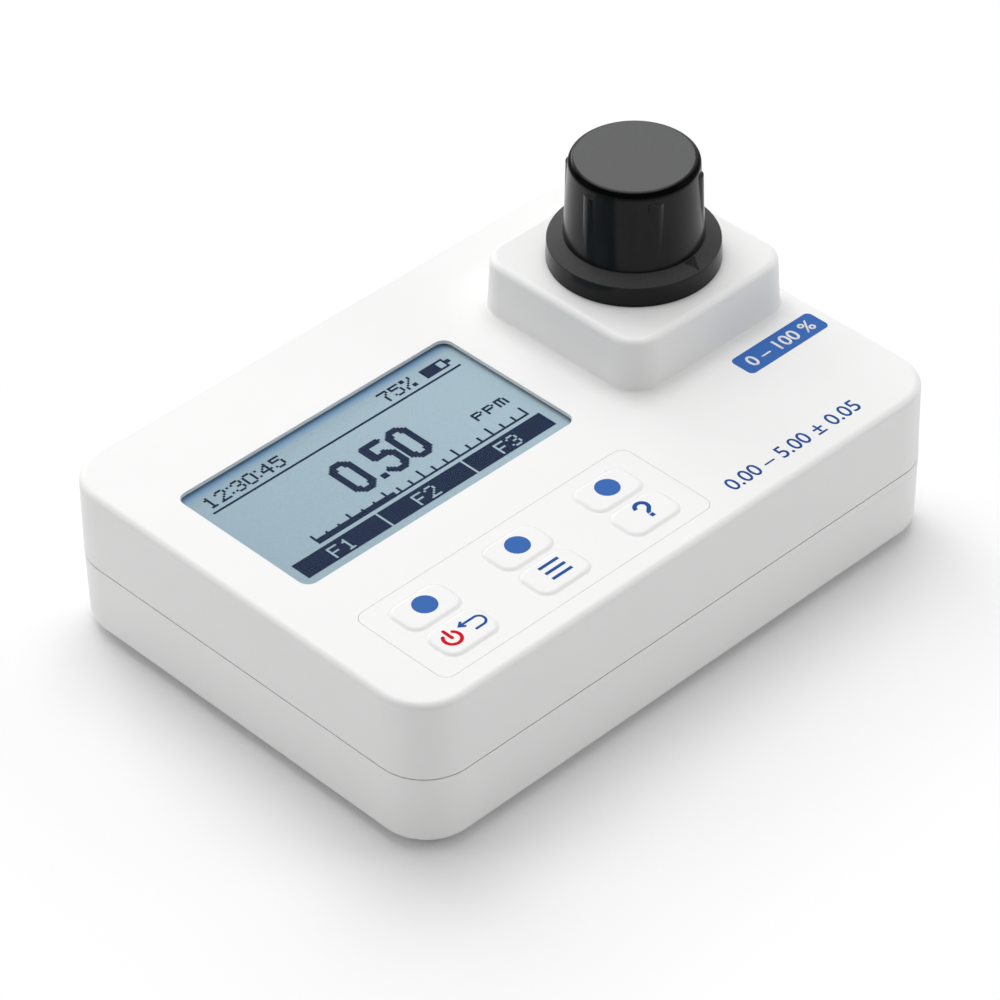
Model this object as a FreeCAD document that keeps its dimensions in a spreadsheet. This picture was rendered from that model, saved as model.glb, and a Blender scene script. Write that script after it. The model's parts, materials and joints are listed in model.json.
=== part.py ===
import FreeCAD, Part
import math
import os
import re

import Sketcher
from FreeCAD import Placement, Rotation, Vector

# Portable photometer with a lift-off light cap, in millimetres.
# +X is the user's right, +Y the back and +Z up.
# The origin lies on the table, under the middle of the case.

SIZES = {
    # Layout of the top face, from left to right and from front to back
    "screen_margin": 11.16,
    "screen_width": 71.15,
    "screen_to_block": 12.072,
    "block_margin": 2.381,
    "pad_margin": 5.22,
    "pad_to_screen": 12.2,
    "screen_depth": 37.5,
    "back_margin": 22.63,
    # Case shells
    "foot_height": 1.6,
    "lower_height": 16.4,
    "corner_radius": 11.0,
    "side_draft": 0.8,
    "wall": 2.6,
    "top_round": 1.5,
    "base_round": 2.0,
    "seam_gap": 0.3,
    "skirt_wall": 1.2,
    "tongue_height": 2.0,
    "case_seal_height": 1.4,
    "fit_gap": 0.15,
    # Raised block round the cuvette well
    "block_height": 11.88,
    "block_corner": 7.0,
    "block_draft": 3.2,
    "block_round": 1.6,
    "block_foot_round": 0.5,
    # Display
    "screen_corner": 2.4,
    "screen_sink": 0.3,
    "screen_rim": 1.0,
    "screen_lap": 1.5,
    "window_flange": 0.6,
    "picture_gap": 0.2,
    "lcd_thickness": 2.2,
    "backlight_thickness": 2.6,
    "lcd_frame_wall": 1.6,
    "lcd_frame_floor": 0.8,
    "lcd_leg": 4.0,
    "lcd_leg_inset": 12.0,
    # Keypad
    "pad_corner": 2.5,
    "pad_thickness": 0.8,
    "pad_gap": 0.08,
    "key_width": 13.35,
    "key_depth": 8.85,
    "key_side_margin": 4.8,
    "key_end_margin": 3.1,
    "key_row_gap": 0.35,
    "key_corner": 2.8,
    "key_rise": 0.4,
    "key_slope": 58,
    "key_edge": 1.0,
    "key_gap": 0.1,
    "key_lip": 0.35,
    "key_lip_height": 1.0,
    "key_stem_radius": 1.7,
    "key_stem_entry": 0.2,
    "key_room": 1.5,
    "switch_side": 6.2,
    "switch_height": 1.8,
    "switch_hole_depth": 1.2,
    "keypad_post_radius": 2.5,
    "keypad_edge": 6.0,
    "ribbon_width": 12.0,
    "ribbon_thickness": 0.3,
    "ribbon_landing": 4.5,
    # Boards
    "board_thickness": 1.6,
    "board_left_inset": 8.5,
    "board_right_reach": 8.9,
    "board_front_gap": 1.95,
    "board_clearance": 3.5,
    "board_post_radius": 2.8,
    "board_post_inset": 3.5,
    "small_screw_radius": 1.0,
    "small_screw_length": 4.0,
    "small_head_radius": 1.9,
    "small_head_height": 1.2,
    "chip_height": 1.2,
    "chip_gap": 0.4,
    "chip_pitch": 16.0,
    "large_chip_side": 12.0,
    "small_chip_side": 8.0,
    "connector_length": 8.0,
    "connector_width": 5.0,
    "connector_height": 3.0,
    "connector_spread": 30.5,
    "beeper_radius": 3.9,
    "beeper_height": 4.5,
    "beeper_gap": 0.375,
    "clock_cell_radius": 6.25,
    "clock_cell_height": 2.0,
    # Batteries and their bay in the base
    "cell_length": 50.5,
    "cell_diameter": 14.5,
    "cell_spacing": 0.7,
    "cell_gap": 0.6,
    "cell_nub_radius": 2.75,
    "cell_nub_height": 1.0,
    "contact_room": 4.6,
    "contact_sheet": 0.4,
    "contact_width": 8.0,
    "contact_height": 11.0,
    "battery_pin_radius": 0.8,
    "bay_wall": 2.0,
    "bay_corner": 2.0,
    "ledge_height": 3.6,
    "cover_corner": 4.0,
    "cover_screw_inset": 3.4,
    "battery_seal_inset": 0.8,
    "battery_seal_width": 1.6,
    "battery_seal_height": 0.8,
    "seal_to_screw": 0.75,
    "seal_to_edge": 1.2,
    "cover_rib_height": 0.4,
    "cover_rib_width": 1.6,
    "cover_rib_spread": 25.0,
    "moulded_corner": 0.4,
    # Case screws, battery cover screws and feet
    "boss_inset": 10.75,
    "lower_boss_radius": 4.6,
    "upper_boss_radius": 3.6,
    "case_screw_radius": 1.5,
    "case_screw_sink": 6.4,
    "case_screw_bite": 8.5,
    "case_head_radius": 3.0,
    "case_head_height": 2.4,
    "cover_screw_radius": 1.45,
    "cover_screw_bite": 6.0,
    "cover_head_radius": 2.7,
    "cover_head_height": 1.4,
    "cover_boss_radius": 3.2,
    "cross_span": 1.3,
    "cross_width": 0.8,
    "cross_depth": 0.9,
    "screw_gap": 0.1,
    "screw_hole_end": 1.0,
    "foot_radius": 6.0,
    "foot_taper": 0.6,
    "foot_sink": 1.0,
    "foot_inset_across": 24.0,
    "foot_inset_back": 14.0,
    # Cuvette well and the optics beside it
    "well_radius": 12.6,
    "well_floor": 3.0,
    "well_chamfer": 0.8,
    "holder_wall": 2.4,
    "holder_flange": 3.5,
    "holder_flange_height": 2.0,
    "flange_gap": 1.12,
    "holder_seal_height": 1.0,
    "collar_rise": 2.9,
    "beam_room": 2.8,
    "port_radius": 3.0,
    "arm_radius": 7.5,
    "arm_length": 3.0,
    "barrel_bore": 4.6,
    "detector_barrel_length": 6.0,
    "optic_gap": 0.1,
    "splitter_width_share": 1.22,
    "splitter_length_share": 1.65,
    "splitter_thickness": 1.0,
    "filter_gap": 0.7,
    "filter_thickness": 3.0,
    "lens_gap": 1.0,
    "lens_thickness": 3.5,
    "led_gap": 0.4,
    "led_length": 8.6,
    "led_radius": 2.5,
    "led_rim": 0.4,
    "led_rim_height": 1.0,
    "reference_boss_radius": 5.0,
    "reference_boss_height": 8.6,
    "reference_radius": 2.5,
    "reference_height": 3.0,
    "detector_height": 3.2,
    "optic_board_side": 18.0,
    "lead_radius": 0.9,
    "lead_stub": 4.5,
    "lead_bow": 3.6,
    # Light cap
    "cap_seat": 0.1,
    "cap_clearance": 0.3,
    "cap_flange_wall": 2.4,
    "cap_flange_lean": 0.17,
    "cap_flange_height": 4.35,
    "cap_slope_height": 1.3,
    "cap_knob_inset": 1.0,
    "cap_taper": 1.2,
    "cap_height": 23.8,
    "cap_round": 1.4,
    "cap_edge_round": 0.3,
    "cap_wall": 1.35,
    "cap_seal_height": 1.0,
    "cap_seal_width": 2.2,
    "cap_seal_undercut": 0.3,
    "rib_count": 6,
    "rib_radius": 2.3,
    "rib_inset": 0.45,
    "rib_drop": 2.65,
    "rib_draft": 1.3,
    "rib_round": 0.2,
    "mark_width": 4.2,
    "mark_depth": 0.95,
    "mark_tip": 0.3,
    "cap_turn": 2.75,
}

# Cuvette well, the block round it and the cap on it
HOLDER_RADIUS = "(well_radius + holder_wall)"
FLANGE_RADIUS = f"({HOLDER_RADIUS} + holder_flange)"
BLOCK_TAPER = "(block_height * tan(block_draft * 1 deg))"
BLOCK_HOLLOW = f"(2 * ({FLANGE_RADIUS} + flange_gap))"
BLOCK_SIDE = f"({BLOCK_HOLLOW} + 2 * wall + 2 * {BLOCK_TAPER})"
CAP_BORE = f"({HOLDER_RADIUS} + cap_clearance)"
CAP_FLANGE_RADIUS = f"({CAP_BORE} + cap_flange_wall)"
CAP_BASE_RADIUS = f"({CAP_BORE} - cap_knob_inset)"
CAP_TOP_RADIUS = f"({CAP_BASE_RADIUS} - cap_taper)"
RIB_REACH = f"({CAP_BASE_RADIUS} - rib_inset)"

# Layout of the top face
KEY_PITCH_ACROSS = "(screen_width / 2 - key_side_margin - key_width / 2)"
KEY_PITCH_BACK = "(key_depth + 2 * key_lip + key_row_gap)"
PAD_DEPTH = f"({KEY_PITCH_BACK} + key_depth + 2 * key_end_margin)"
CASE_WIDTH = f"(screen_margin + screen_width + screen_to_block + {BLOCK_SIDE} + block_margin)"
CASE_DEPTH = f"(pad_margin + {PAD_DEPTH} + pad_to_screen + screen_depth + back_margin)"
SCREEN_X = f"(screen_margin + screen_width / 2 - {CASE_WIDTH} / 2)"
SCREEN_Y = f"({CASE_DEPTH} / 2 - back_margin - screen_depth / 2)"
PAD_Y = f"(pad_margin + {PAD_DEPTH} / 2 - {CASE_DEPTH} / 2)"
BLOCK_X = f"({CASE_WIDTH} / 2 - block_margin - {BLOCK_SIDE} / 2)"
BLOCK_Y = SCREEN_Y

# Levels from the table up: battery bay, main board, display and top face
BASE = "foot_height"
FLOOR = "(foot_height + wall)"
SEAM = "(foot_height + lower_height)"
BAY_HEIGHT = "(cell_diameter + 2 * cell_gap)"
CELL_Z = f"({FLOOR} + cover_rib_height + cell_diameter / 2)"
BOARD_BOTTOM = f"({FLOOR} + {BAY_HEIGHT} + bay_wall + board_clearance)"
BOARD_TOP = f"({BOARD_BOTTOM} + board_thickness)"
FRAME_BOTTOM = f"({BOARD_TOP} + chip_height + chip_gap)"
BACKLIGHT_BOTTOM = f"({FRAME_BOTTOM} + lcd_frame_floor)"
LCD_BOTTOM = f"({BACKLIGHT_BOTTOM} + backlight_thickness)"
WINDOW_BOTTOM = f"({LCD_BOTTOM} + lcd_thickness + picture_gap)"
TOP = f"({WINDOW_BOTTOM} + window_flange + screen_rim)"
CEILING = f"({TOP} - wall)"
BLOCK_TOP = f"({TOP} + block_height)"
COLLAR_TOP = f"({BLOCK_TOP} + collar_rise)"
KEYPAD_POST = "(screw_gap + key_lip_height + key_room + switch_height)"
KEYPAD_TOP = f"({CEILING} - {KEYPAD_POST})"
SWITCH_TOP = f"({KEYPAD_TOP} + switch_height)"
BEAM_Z = f"({CEILING} - reference_boss_height - beam_room)"

# Display module and boards
MODULE_WIDTH = "(screen_width + 2 * screen_lap + 2 * lcd_frame_wall)"
MODULE_DEPTH = "(screen_depth + 2 * screen_lap + 2 * lcd_frame_wall)"
KEYPAD_BOARD_DEPTH = f"({PAD_DEPTH} - 2 * screen_lap)"
BOARD_WIDTH = f"({MODULE_WIDTH} - board_left_inset + board_right_reach)"
BOARD_X = f"({SCREEN_X} + board_left_inset / 2 + board_right_reach / 2)"
BOARD_FRONT = f"({PAD_Y} + {KEYPAD_BOARD_DEPTH} / 2 + board_front_gap)"
BOARD_BACK = f"({SCREEN_Y} + {MODULE_DEPTH} / 2 + 2 * beeper_radius + 2 * beeper_gap)"
BOARD_DEPTH = f"({BOARD_BACK} - {BOARD_FRONT})"
BOARD_Y = f"({BOARD_FRONT} / 2 + {BOARD_BACK} / 2)"
CONNECTOR_X = f"({BOARD_X} + {BOARD_WIDTH} / 2 - connector_width / 2 - screw_gap)"

# Battery bay and its cover
CELL_PITCH = "(cell_diameter + cell_spacing)"
BAY_X = SCREEN_X
BAY_LENGTH = "(cell_length + 2 * contact_room)"
BAY_DEPTH = f"(2 * {CELL_PITCH} + cell_diameter + 2 * cell_gap)"
SEAL_REACH = "(battery_seal_inset + battery_seal_width)"
COVER_LAP = f"({SEAL_REACH} + seal_to_screw + cover_screw_radius + cover_screw_inset)"
COVER_LENGTH = f"({BAY_LENGTH} + 2 * {COVER_LAP})"
COVER_DEPTH = f"({BAY_DEPTH} + 2 * {SEAL_REACH} + 2 * seal_to_edge)"

# Optics in front of the well and behind it
ARM_REACH = f"({HOLDER_RADIUS} + arm_length)"
SPLITTER_WIDTH = "(splitter_width_share * barrel_bore)"
SPLITTER_LENGTH = "(splitter_length_share * barrel_bore)"
SPLITTER_PLACE = "reference_boss_radius"
FILTER_PLACE = f"({SPLITTER_PLACE} + {SPLITTER_LENGTH} / 2 + filter_gap)"
LENS_PLACE = f"({FILTER_PLACE} + filter_thickness + lens_gap)"
LAMP_BARREL_LENGTH = f"({LENS_PLACE} + lens_thickness + led_gap + led_length)"
LAMP_FACE = f"({BLOCK_Y} - {ARM_REACH})"
LAMP_END = f"({LAMP_FACE} - {LAMP_BARREL_LENGTH})"
DETECTOR_END = f"({BLOCK_Y} + {ARM_REACH} + detector_barrel_length)"

CORNERS = ((-1, -1), (1, -1), (-1, 1), (1, 1))
MIDDLE = ("0", "0")
SCREEN = (SCREEN_X, SCREEN_Y)
KEYPAD = (SCREEN_X, PAD_Y)
BLOCK = (BLOCK_X, BLOCK_Y)
BAY = (BAY_X, "0")
KEY_NAMES = ("key_power", "key_menu", "key_help", "key_left", "key_middle", "key_right")
CELL_COUNT = 3
TOUCH = 1e-4
SMALLEST_CHANGE = 1e-3
# Share of a lead's shorter run that each of its bends takes
BEND_SHARE = 0.45

doc = FreeCAD.newDocument("photometer")
sheet = doc.addObject("Spreadsheet::Sheet", "Sizes")
for row, (alias, size) in enumerate(SIZES.items(), 1):
    sheet.set(f"A{row}", alias)
    sheet.set(f"B{row}", str(size))
    sheet.setAlias(f"B{row}", alias)
doc.recompute()

subparts = []


# Sizes and places

def cells(text):
    """Turns the size names in an expression into references to the sheet's cells."""
    return re.sub(r"[a-z_]+", lambda word: f"Sizes.{word[0]}" if word[0] in SIZES else word[0], text)


def number(text):
    """Gives the present value of an expression in size names."""
    return float(sheet.evalExpression(cells(text)))


def bind(thing, path, text):
    """Ties a property of an object to an expression in size names."""
    thing.setExpression(path, cells(text))


def place(thing, x="0", y="0", z="0", turn=None):
    """Puts an object at bound coordinates, turned by a rotation where one is given."""
    if turn:
        thing.Placement = Placement(Vector(), turn)
    for axis, text in zip("xyz", (x, y, z)):
        if text != "0":
            bind(thing, f"Placement.Base.{axis}", text)


def keep(thing, label):
    """Makes an object a sub-part with a label of its own."""
    thing.Label = label
    subparts.append(thing)
    return thing


def corner_spots(width, depth, inset_across, inset_back, middle=MIDDLE):
    """Gives the four places set in from the corners of a rectangle."""
    return [
        (f"({middle[0]} + {across} * ({width} / 2 - {inset_across}))",
         f"({middle[1]} + {back} * ({depth} / 2 - {inset_back}))")
        for across, back in CORNERS
    ]


def key_spots(middle):
    """Gives the centres of the keys, front row first and from left to right."""
    return [
        (middle[0] if column == 0 else f"({middle[0]} + {column} * {KEY_PITCH_ACROSS})",
         f"({middle[1]} + {row} * {KEY_PITCH_BACK} / 2)")
        for row in (-1, 1)
        for column in (-1, 0, 1)
    ]


def keypad_post_spots(middle):
    """Gives the centres of the keypad posts, between the columns of keys."""
    return [(f"({middle[0]} + {side} * {KEY_PITCH_ACROSS} / 2)", middle[1]) for side in (-1, 1)]


CASE_SCREW_SPOTS = corner_spots(CASE_WIDTH, CASE_DEPTH, "boss_inset", "boss_inset")
FOOT_SPOTS = corner_spots(CASE_WIDTH, CASE_DEPTH, "foot_inset_across", "foot_inset_back")
COVER_SCREW_SPOTS = corner_spots(COVER_LENGTH, COVER_DEPTH, "cover_screw_inset", "cover_screw_inset", BAY)
BOARD = (BOARD_X, BOARD_Y)
BOARD_SPOTS = corner_spots(BOARD_WIDTH, BOARD_DEPTH, "board_post_inset", "board_post_inset", BOARD)
KEY_SPOTS = key_spots(KEYPAD)
KEYPAD_POST_SPOTS = keypad_post_spots(KEYPAD)
BATTERY_PIN_X = f"({BAY_X} + {BAY_LENGTH} / 2 - contact_sheet - battery_pin_radius - screw_gap)"
BATTERY_PIN_SPOTS = [(BATTERY_PIN_X, f"({side} * {CELL_PITCH})") for side in (-1, 1)]


# Bodies, sketches and features

def new_body(label, x="0", y="0", z="0", turn=None):
    body = doc.addObject("PartDesign::Body", label)
    place(body, x, y, z, turn)
    return keep(body, label)


def new_sketch(body, plane="XY_Plane", x="0", y="0", z="0"):
    """Starts a sketch on an origin plane of its body, shifted by bound amounts."""
    sketch = body.newObject("Sketcher::SketchObject", body.Label + "_sketch")
    support = next(face for face in body.Origin.OriginFeatures if face.Role == plane)
    sketch.AttachmentSupport = (support, [""])
    sketch.MapMode = "FlatFace"
    for axis, text in zip("xyz", (x, y, z)):
        if text != "0":
            bind(sketch, f"AttachmentOffset.Base.{axis}", text)
    return sketch


def add_bound(sketch, constraint, text):
    """Adds a size constraint and ties it to an expression."""
    index = sketch.addConstraint(constraint)
    sketch.setExpression(f"Constraints[{index}]", cells(text))


def pin_point(sketch, geometry, end, x, y):
    """Ties a point of a sketch to bound coordinates."""
    for kind, text, axis in (("DistanceX", x, -2), ("DistanceY", y, -1)):
        if text == "0":
            sketch.addConstraint(Sketcher.Constraint("PointOnObject", geometry, end, axis))
        else:
            add_bound(sketch, Sketcher.Constraint(kind, -1, 1, geometry, end, number(text)), text)


def draw_circle(sketch, radius, x="0", y="0"):
    """Draws a circle round a point."""
    centre = Vector(number(x), number(y), 0)
    circle = sketch.addGeometry(Part.Circle(centre, Vector(0, 0, 1), number(radius)))
    pin_point(sketch, circle, 3, x, y)
    add_bound(sketch, Sketcher.Constraint("Radius", circle, number(radius)), radius)


def draw_rounded_rectangle(sketch, size, x="0", y="0"):
    """Draws a rectangle with round corners about a point; size is its width, depth and corner."""
    width, depth, corner = size
    half_width = number(width) / 2
    half_depth = number(depth) / 2
    radius = number(corner)
    straight_x = half_width - radius
    straight_y = half_depth - radius
    middle = Vector(number(x), number(y), 0)
    ends = (
        ((-straight_x, -half_depth), (straight_x, -half_depth)),
        ((half_width, -straight_y), (half_width, straight_y)),
        ((straight_x, half_depth), (-straight_x, half_depth)),
        ((-half_width, straight_y), (-half_width, -straight_y)),
    )
    centres = ((1, -1), (1, 1), (-1, 1), (-1, -1))
    lines = [
        sketch.addGeometry(Part.LineSegment(middle + Vector(*start, 0), middle + Vector(*end, 0)))
        for start, end in ends
    ]
    arcs = []
    for turn, (sign_x, sign_y) in enumerate(centres):
        centre = middle + Vector(sign_x * straight_x, sign_y * straight_y, 0)
        start = (turn - 1) * math.pi / 2
        circle = Part.Circle(centre, Vector(0, 0, 1), radius)
        arcs.append(sketch.addGeometry(Part.ArcOfCircle(circle, start, start + math.pi / 2)))
    for side in range(4):
        sketch.addConstraint(Sketcher.Constraint("Tangent", lines[side], 2, arcs[side], 1))
        sketch.addConstraint(Sketcher.Constraint("Tangent", arcs[side], 2, lines[(side + 1) % 4], 1))
    sketch.addConstraint(Sketcher.Constraint("Horizontal", lines[0]))
    sketch.addConstraint(Sketcher.Constraint("Vertical", lines[1]))
    sketch.addConstraint(Sketcher.Constraint("Horizontal", lines[2]))
    sketch.addConstraint(Sketcher.Constraint("Vertical", lines[3]))
    for arc in arcs[1:]:
        sketch.addConstraint(Sketcher.Constraint("Equal", arcs[0], arc))
    pin_point(sketch, arcs[1], 3, f"{x} + ({width}) / 2 - ({corner})", f"{y} + ({depth}) / 2 - ({corner})")
    add_bound(sketch, Sketcher.Constraint("Radius", arcs[0], radius), corner)
    across = Sketcher.Constraint("DistanceX", lines[3], 1, lines[1], 1, 2 * half_width)
    add_bound(sketch, across, width)
    back = Sketcher.Constraint("DistanceY", lines[0], 1, lines[2], 1, 2 * half_depth)
    add_bound(sketch, back, depth)


def draw_polygon(sketch, corners):
    """Draws a closed outline of straight lines through bound corners."""
    points = [Vector(number(x), number(y), 0) for x, y in corners]
    count = len(points)
    lines = [
        sketch.addGeometry(Part.LineSegment(points[i], points[(i + 1) % count]))
        for i in range(count)
    ]
    for i in range(count):
        sketch.addConstraint(Sketcher.Constraint("Coincident", lines[i], 2, lines[(i + 1) % count], 1))
    for line, (x, y) in zip(lines, corners):
        pin_point(sketch, line, 1, x, y)


def volume_of(body):
    return body.Shape.Volume if body.Tip else 0.0


def check_change(body, feature, before, grows):
    """Stops the build if a feature has not changed its body the right way."""
    doc.recompute()
    change = feature.Shape.Volume - before
    if (change if grows else -change) < SMALLEST_CHANGE:
        raise ValueError(f"{feature.Name} changes the volume of {body.Label} by {change:.4f}")


def pad(body, sketch, length, forward=True, both=False, draft=None):
    """Adds material along the sketch's normal, or against it, or to both sides."""
    doc.recompute()
    before = volume_of(body)
    feature = body.newObject("PartDesign::Pad", body.Label + "_pad")
    feature.Profile = sketch
    bind(feature, "Length", length)
    feature.Reversed = not forward
    if both:
        feature.SideType = "Symmetric"
    if draft:
        bind(feature, "TaperAngle", draft)
    check_change(body, feature, before, True)
    return feature


def pocket(body, sketch, length, forward=False, both=False):
    """Cuts material against the sketch's normal, or along it, or to both sides."""
    doc.recompute()
    before = volume_of(body)
    feature = body.newObject("PartDesign::Pocket", body.Label + "_pocket")
    feature.Profile = sketch
    bind(feature, "Length", length)
    feature.Reversed = forward
    if both:
        feature.SideType = "Symmetric"
    check_change(body, feature, before, False)
    return feature


def turned(body, kind, corners):
    """Turns an outline of radius and height about the body's own vertical axis."""
    sketch = new_sketch(body, "XZ_Plane")
    draw_polygon(sketch, corners)
    doc.recompute()
    before = volume_of(body)
    feature = body.newObject(f"PartDesign::{kind}", body.Label + "_turn")
    feature.Profile = sketch
    feature.ReferenceAxis = (sketch, ["V_Axis"])
    feature.Angle = 360
    check_change(body, feature, before, kind == "Revolution")
    return feature


def round_edges(body, feature, radius, chosen):
    """Rounds the edges of a feature that a test picks out."""
    names = [f"Edge{i}" for i, edge in enumerate(feature.Shape.Edges, 1) if chosen(edge)]
    if not names:
        raise ValueError(f"no edge to round on {feature.Name}")
    rounding = body.newObject("PartDesign::Fillet", body.Label + "_round")
    rounding.Base = (feature, names)
    bind(rounding, "Radius", radius)
    doc.recompute()
    return rounding


def level_edges(height, x="0", y="0", reach=None):
    """Picks edges that lie level at a height, within reach of a centre where one is given."""
    level = number(height)
    centre = Vector(number(x), number(y), level)

    def chosen(edge):
        box = edge.BoundBox
        level_edge = abs(box.ZMin - level) < TOUCH and abs(box.ZMax - level) < TOUCH
        return level_edge and (reach is None or (box.Center - centre).Length < number(reach))

    return chosen


def round_pad(body, radius, length, spots=(MIDDLE,), z="0", forward=True):
    """Adds upright round bosses at some spots."""
    sketch = new_sketch(body, "XY_Plane", z=z)
    for spot in spots:
        draw_circle(sketch, radius, *spot)
    return pad(body, sketch, length, forward)


def round_pocket(body, radius, length, spots=(MIDDLE,), z="0", forward=False):
    """Cuts upright round holes at some spots."""
    sketch = new_sketch(body, "XY_Plane", z=z)
    for spot in spots:
        draw_circle(sketch, radius, *spot)
    return pocket(body, sketch, length, forward)


def plate_pad(body, size, length, spots=(MIDDLE,), z="0", forward=True, draft=None):
    """Adds plates with round corners at some spots."""
    sketch = new_sketch(body, "XY_Plane", z=z)
    for spot in spots:
        draw_rounded_rectangle(sketch, size, *spot)
    return pad(body, sketch, length, forward, draft=draft)


def plate_pocket(body, size, length, spots=(MIDDLE,), z="0", forward=False):
    """Cuts rectangles with round corners at some spots."""
    sketch = new_sketch(body, "XY_Plane", z=z)
    for spot in spots:
        draw_rounded_rectangle(sketch, size, *spot)
    return pocket(body, sketch, length, forward)


def ring_sketch(body, outer, inner, spot=MIDDLE, z="0"):
    """Starts a sketch of a ring between two rectangles with round corners."""
    sketch = new_sketch(body, "XY_Plane", z=z)
    draw_rounded_rectangle(sketch, outer, *spot)
    draw_rounded_rectangle(sketch, inner, *spot)
    return sketch


def case_outline(inset):
    """Gives the case's outline at the seam, set in by an amount."""
    return f"{CASE_WIDTH} - 2 * ({inset})", f"{CASE_DEPTH} - 2 * ({inset})", f"corner_radius - ({inset})"


# Primitives

def box(name, length, width, height, x="0", y="0", z="0"):
    """Makes a box centred over a point in X and Y that stands on a level."""
    shape = doc.addObject("Part::Box", name)
    bind(shape, "Length", length)
    bind(shape, "Width", width)
    bind(shape, "Height", height)
    place(shape, f"{x} - ({length}) / 2", f"{y} - ({width}) / 2", z)
    return shape


def cylinder(name, radius, height, x="0", y="0", z="0", turn=None, angle=360):
    shape = doc.addObject("Part::Cylinder", name)
    bind(shape, "Radius", radius)
    bind(shape, "Height", height)
    shape.Angle = angle
    place(shape, x, y, z, turn)
    return shape


def sphere(name, radius, x="0", y="0", z="0"):
    shape = doc.addObject("Part::Sphere", name)
    bind(shape, "Radius", radius)
    place(shape, x, y, z)
    return shape


def cut(name, base, tool):
    shape = doc.addObject("Part::Cut", name)
    shape.Base = base
    shape.Tool = tool
    return shape


def fuse(name, pieces):
    shape = doc.addObject("Part::MultiFuse", name)
    shape.Shapes = pieces
    return shape


def common(name, first, second):
    shape = doc.addObject("Part::Common", name)
    shape.Base = first
    shape.Tool = second
    return shape


def group(name, pieces):
    """Puts separate solids of one kind in one sub-part."""
    shape = doc.addObject("Part::Compound", name)
    shape.Links = pieces
    return keep(shape, name)


TO_BACK = Rotation(Vector(1, 0, 0), -90)
HALF_TO_BACK = Rotation(Vector(1, 0, 0), -45)
TO_FRONT = Rotation(Vector(1, 0, 0), 90)
TO_RIGHT = Rotation(Vector(0, 1, 0), 90)
TO_LEFT = Rotation(Vector(0, 1, 0), -90)


# Case shells

def make_upper_case():
    """Top shell: drafted walls, the raised block, openings, and posts that hang from its ceiling."""
    body = new_body("upper_case")
    edge = f"{SEAM} + seam_gap / 2"
    shell = plate_pad(body, case_outline("0"), f"{TOP} - ({edge})", z=edge, draft="-side_draft")
    shell = round_edges(body, shell, "top_round", level_edges(TOP))
    block_outline = (BLOCK_SIDE, BLOCK_SIDE, "block_corner")
    block = plate_pad(body, block_outline, "block_height", [BLOCK], TOP, draft="-block_draft")
    block = round_edges(body, block, "block_round", level_edges(BLOCK_TOP))
    foot_edges = level_edges(TOP, BLOCK_X, BLOCK_Y, f"{BLOCK_SIDE} / 2 + fit_gap")
    round_edges(body, block, "block_foot_round", foot_edges)
    ledge = "tongue_height + case_seal_height - seam_gap"
    plate_pocket(body, case_outline("skirt_wall"), ledge, z=edge, forward=True)
    plate_pocket(body, case_outline("wall"), f"{CEILING} - ({edge})", z=edge, forward=True)
    hollow_outline = (BLOCK_HOLLOW, BLOCK_HOLLOW, "block_corner - wall")
    plate_pocket(body, hollow_outline, "block_height", [BLOCK], CEILING, forward=True)
    round_pocket(body, f"{HOLDER_RADIUS} + fit_gap", "wall", [BLOCK], BLOCK_TOP)
    screen = ("screen_width", "screen_depth", "screen_corner")
    plate_pocket(body, screen, "wall", [SCREEN], TOP)
    module = (f"{MODULE_WIDTH} + 2 * fit_gap", f"{MODULE_DEPTH} + 2 * fit_gap", "screen_corner")
    plate_pocket(body, module, "wall - screen_rim", [SCREEN], CEILING, forward=True)
    panel = ("screen_width", PAD_DEPTH, "pad_corner")
    plate_pocket(body, panel, "pad_thickness", [KEYPAD], TOP)
    plate_pocket(body, key_outline("2 * key_gap"), "wall", KEY_SPOTS, TOP)
    round_pad(body, "upper_boss_radius", f"{CEILING} - {SEAM}", CASE_SCREW_SPOTS, CEILING, forward=False)
    screw_hole = "case_screw_radius + screw_gap / 2"
    screw_depth = "case_screw_bite + screw_hole_end"
    round_pocket(body, screw_hole, screw_depth, CASE_SCREW_SPOTS, SEAM, forward=True)
    hang_posts(body, BOARD_SPOTS, f"({CEILING} - {BOARD_TOP})", "board_post_radius")
    hang_posts(body, KEYPAD_POST_SPOTS, KEYPAD_POST, "keypad_post_radius")


def hang_posts(body, spots, length, radius):
    """Adds screw posts that hang from the ceiling of the top shell."""
    round_pad(body, radius, length, spots, CEILING, forward=False)
    hole_radius = "small_screw_radius + screw_gap / 2"
    hole_depth = "small_screw_length - board_thickness + screw_hole_end"
    round_pocket(body, hole_radius, hole_depth, spots, f"{CEILING} - {length}", forward=True)


def key_outline(growth):
    """Gives a key's outline, grown by an amount."""
    return f"key_width + {growth}", f"key_depth + {growth}", f"key_corner + ({growth}) / 2"


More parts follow.
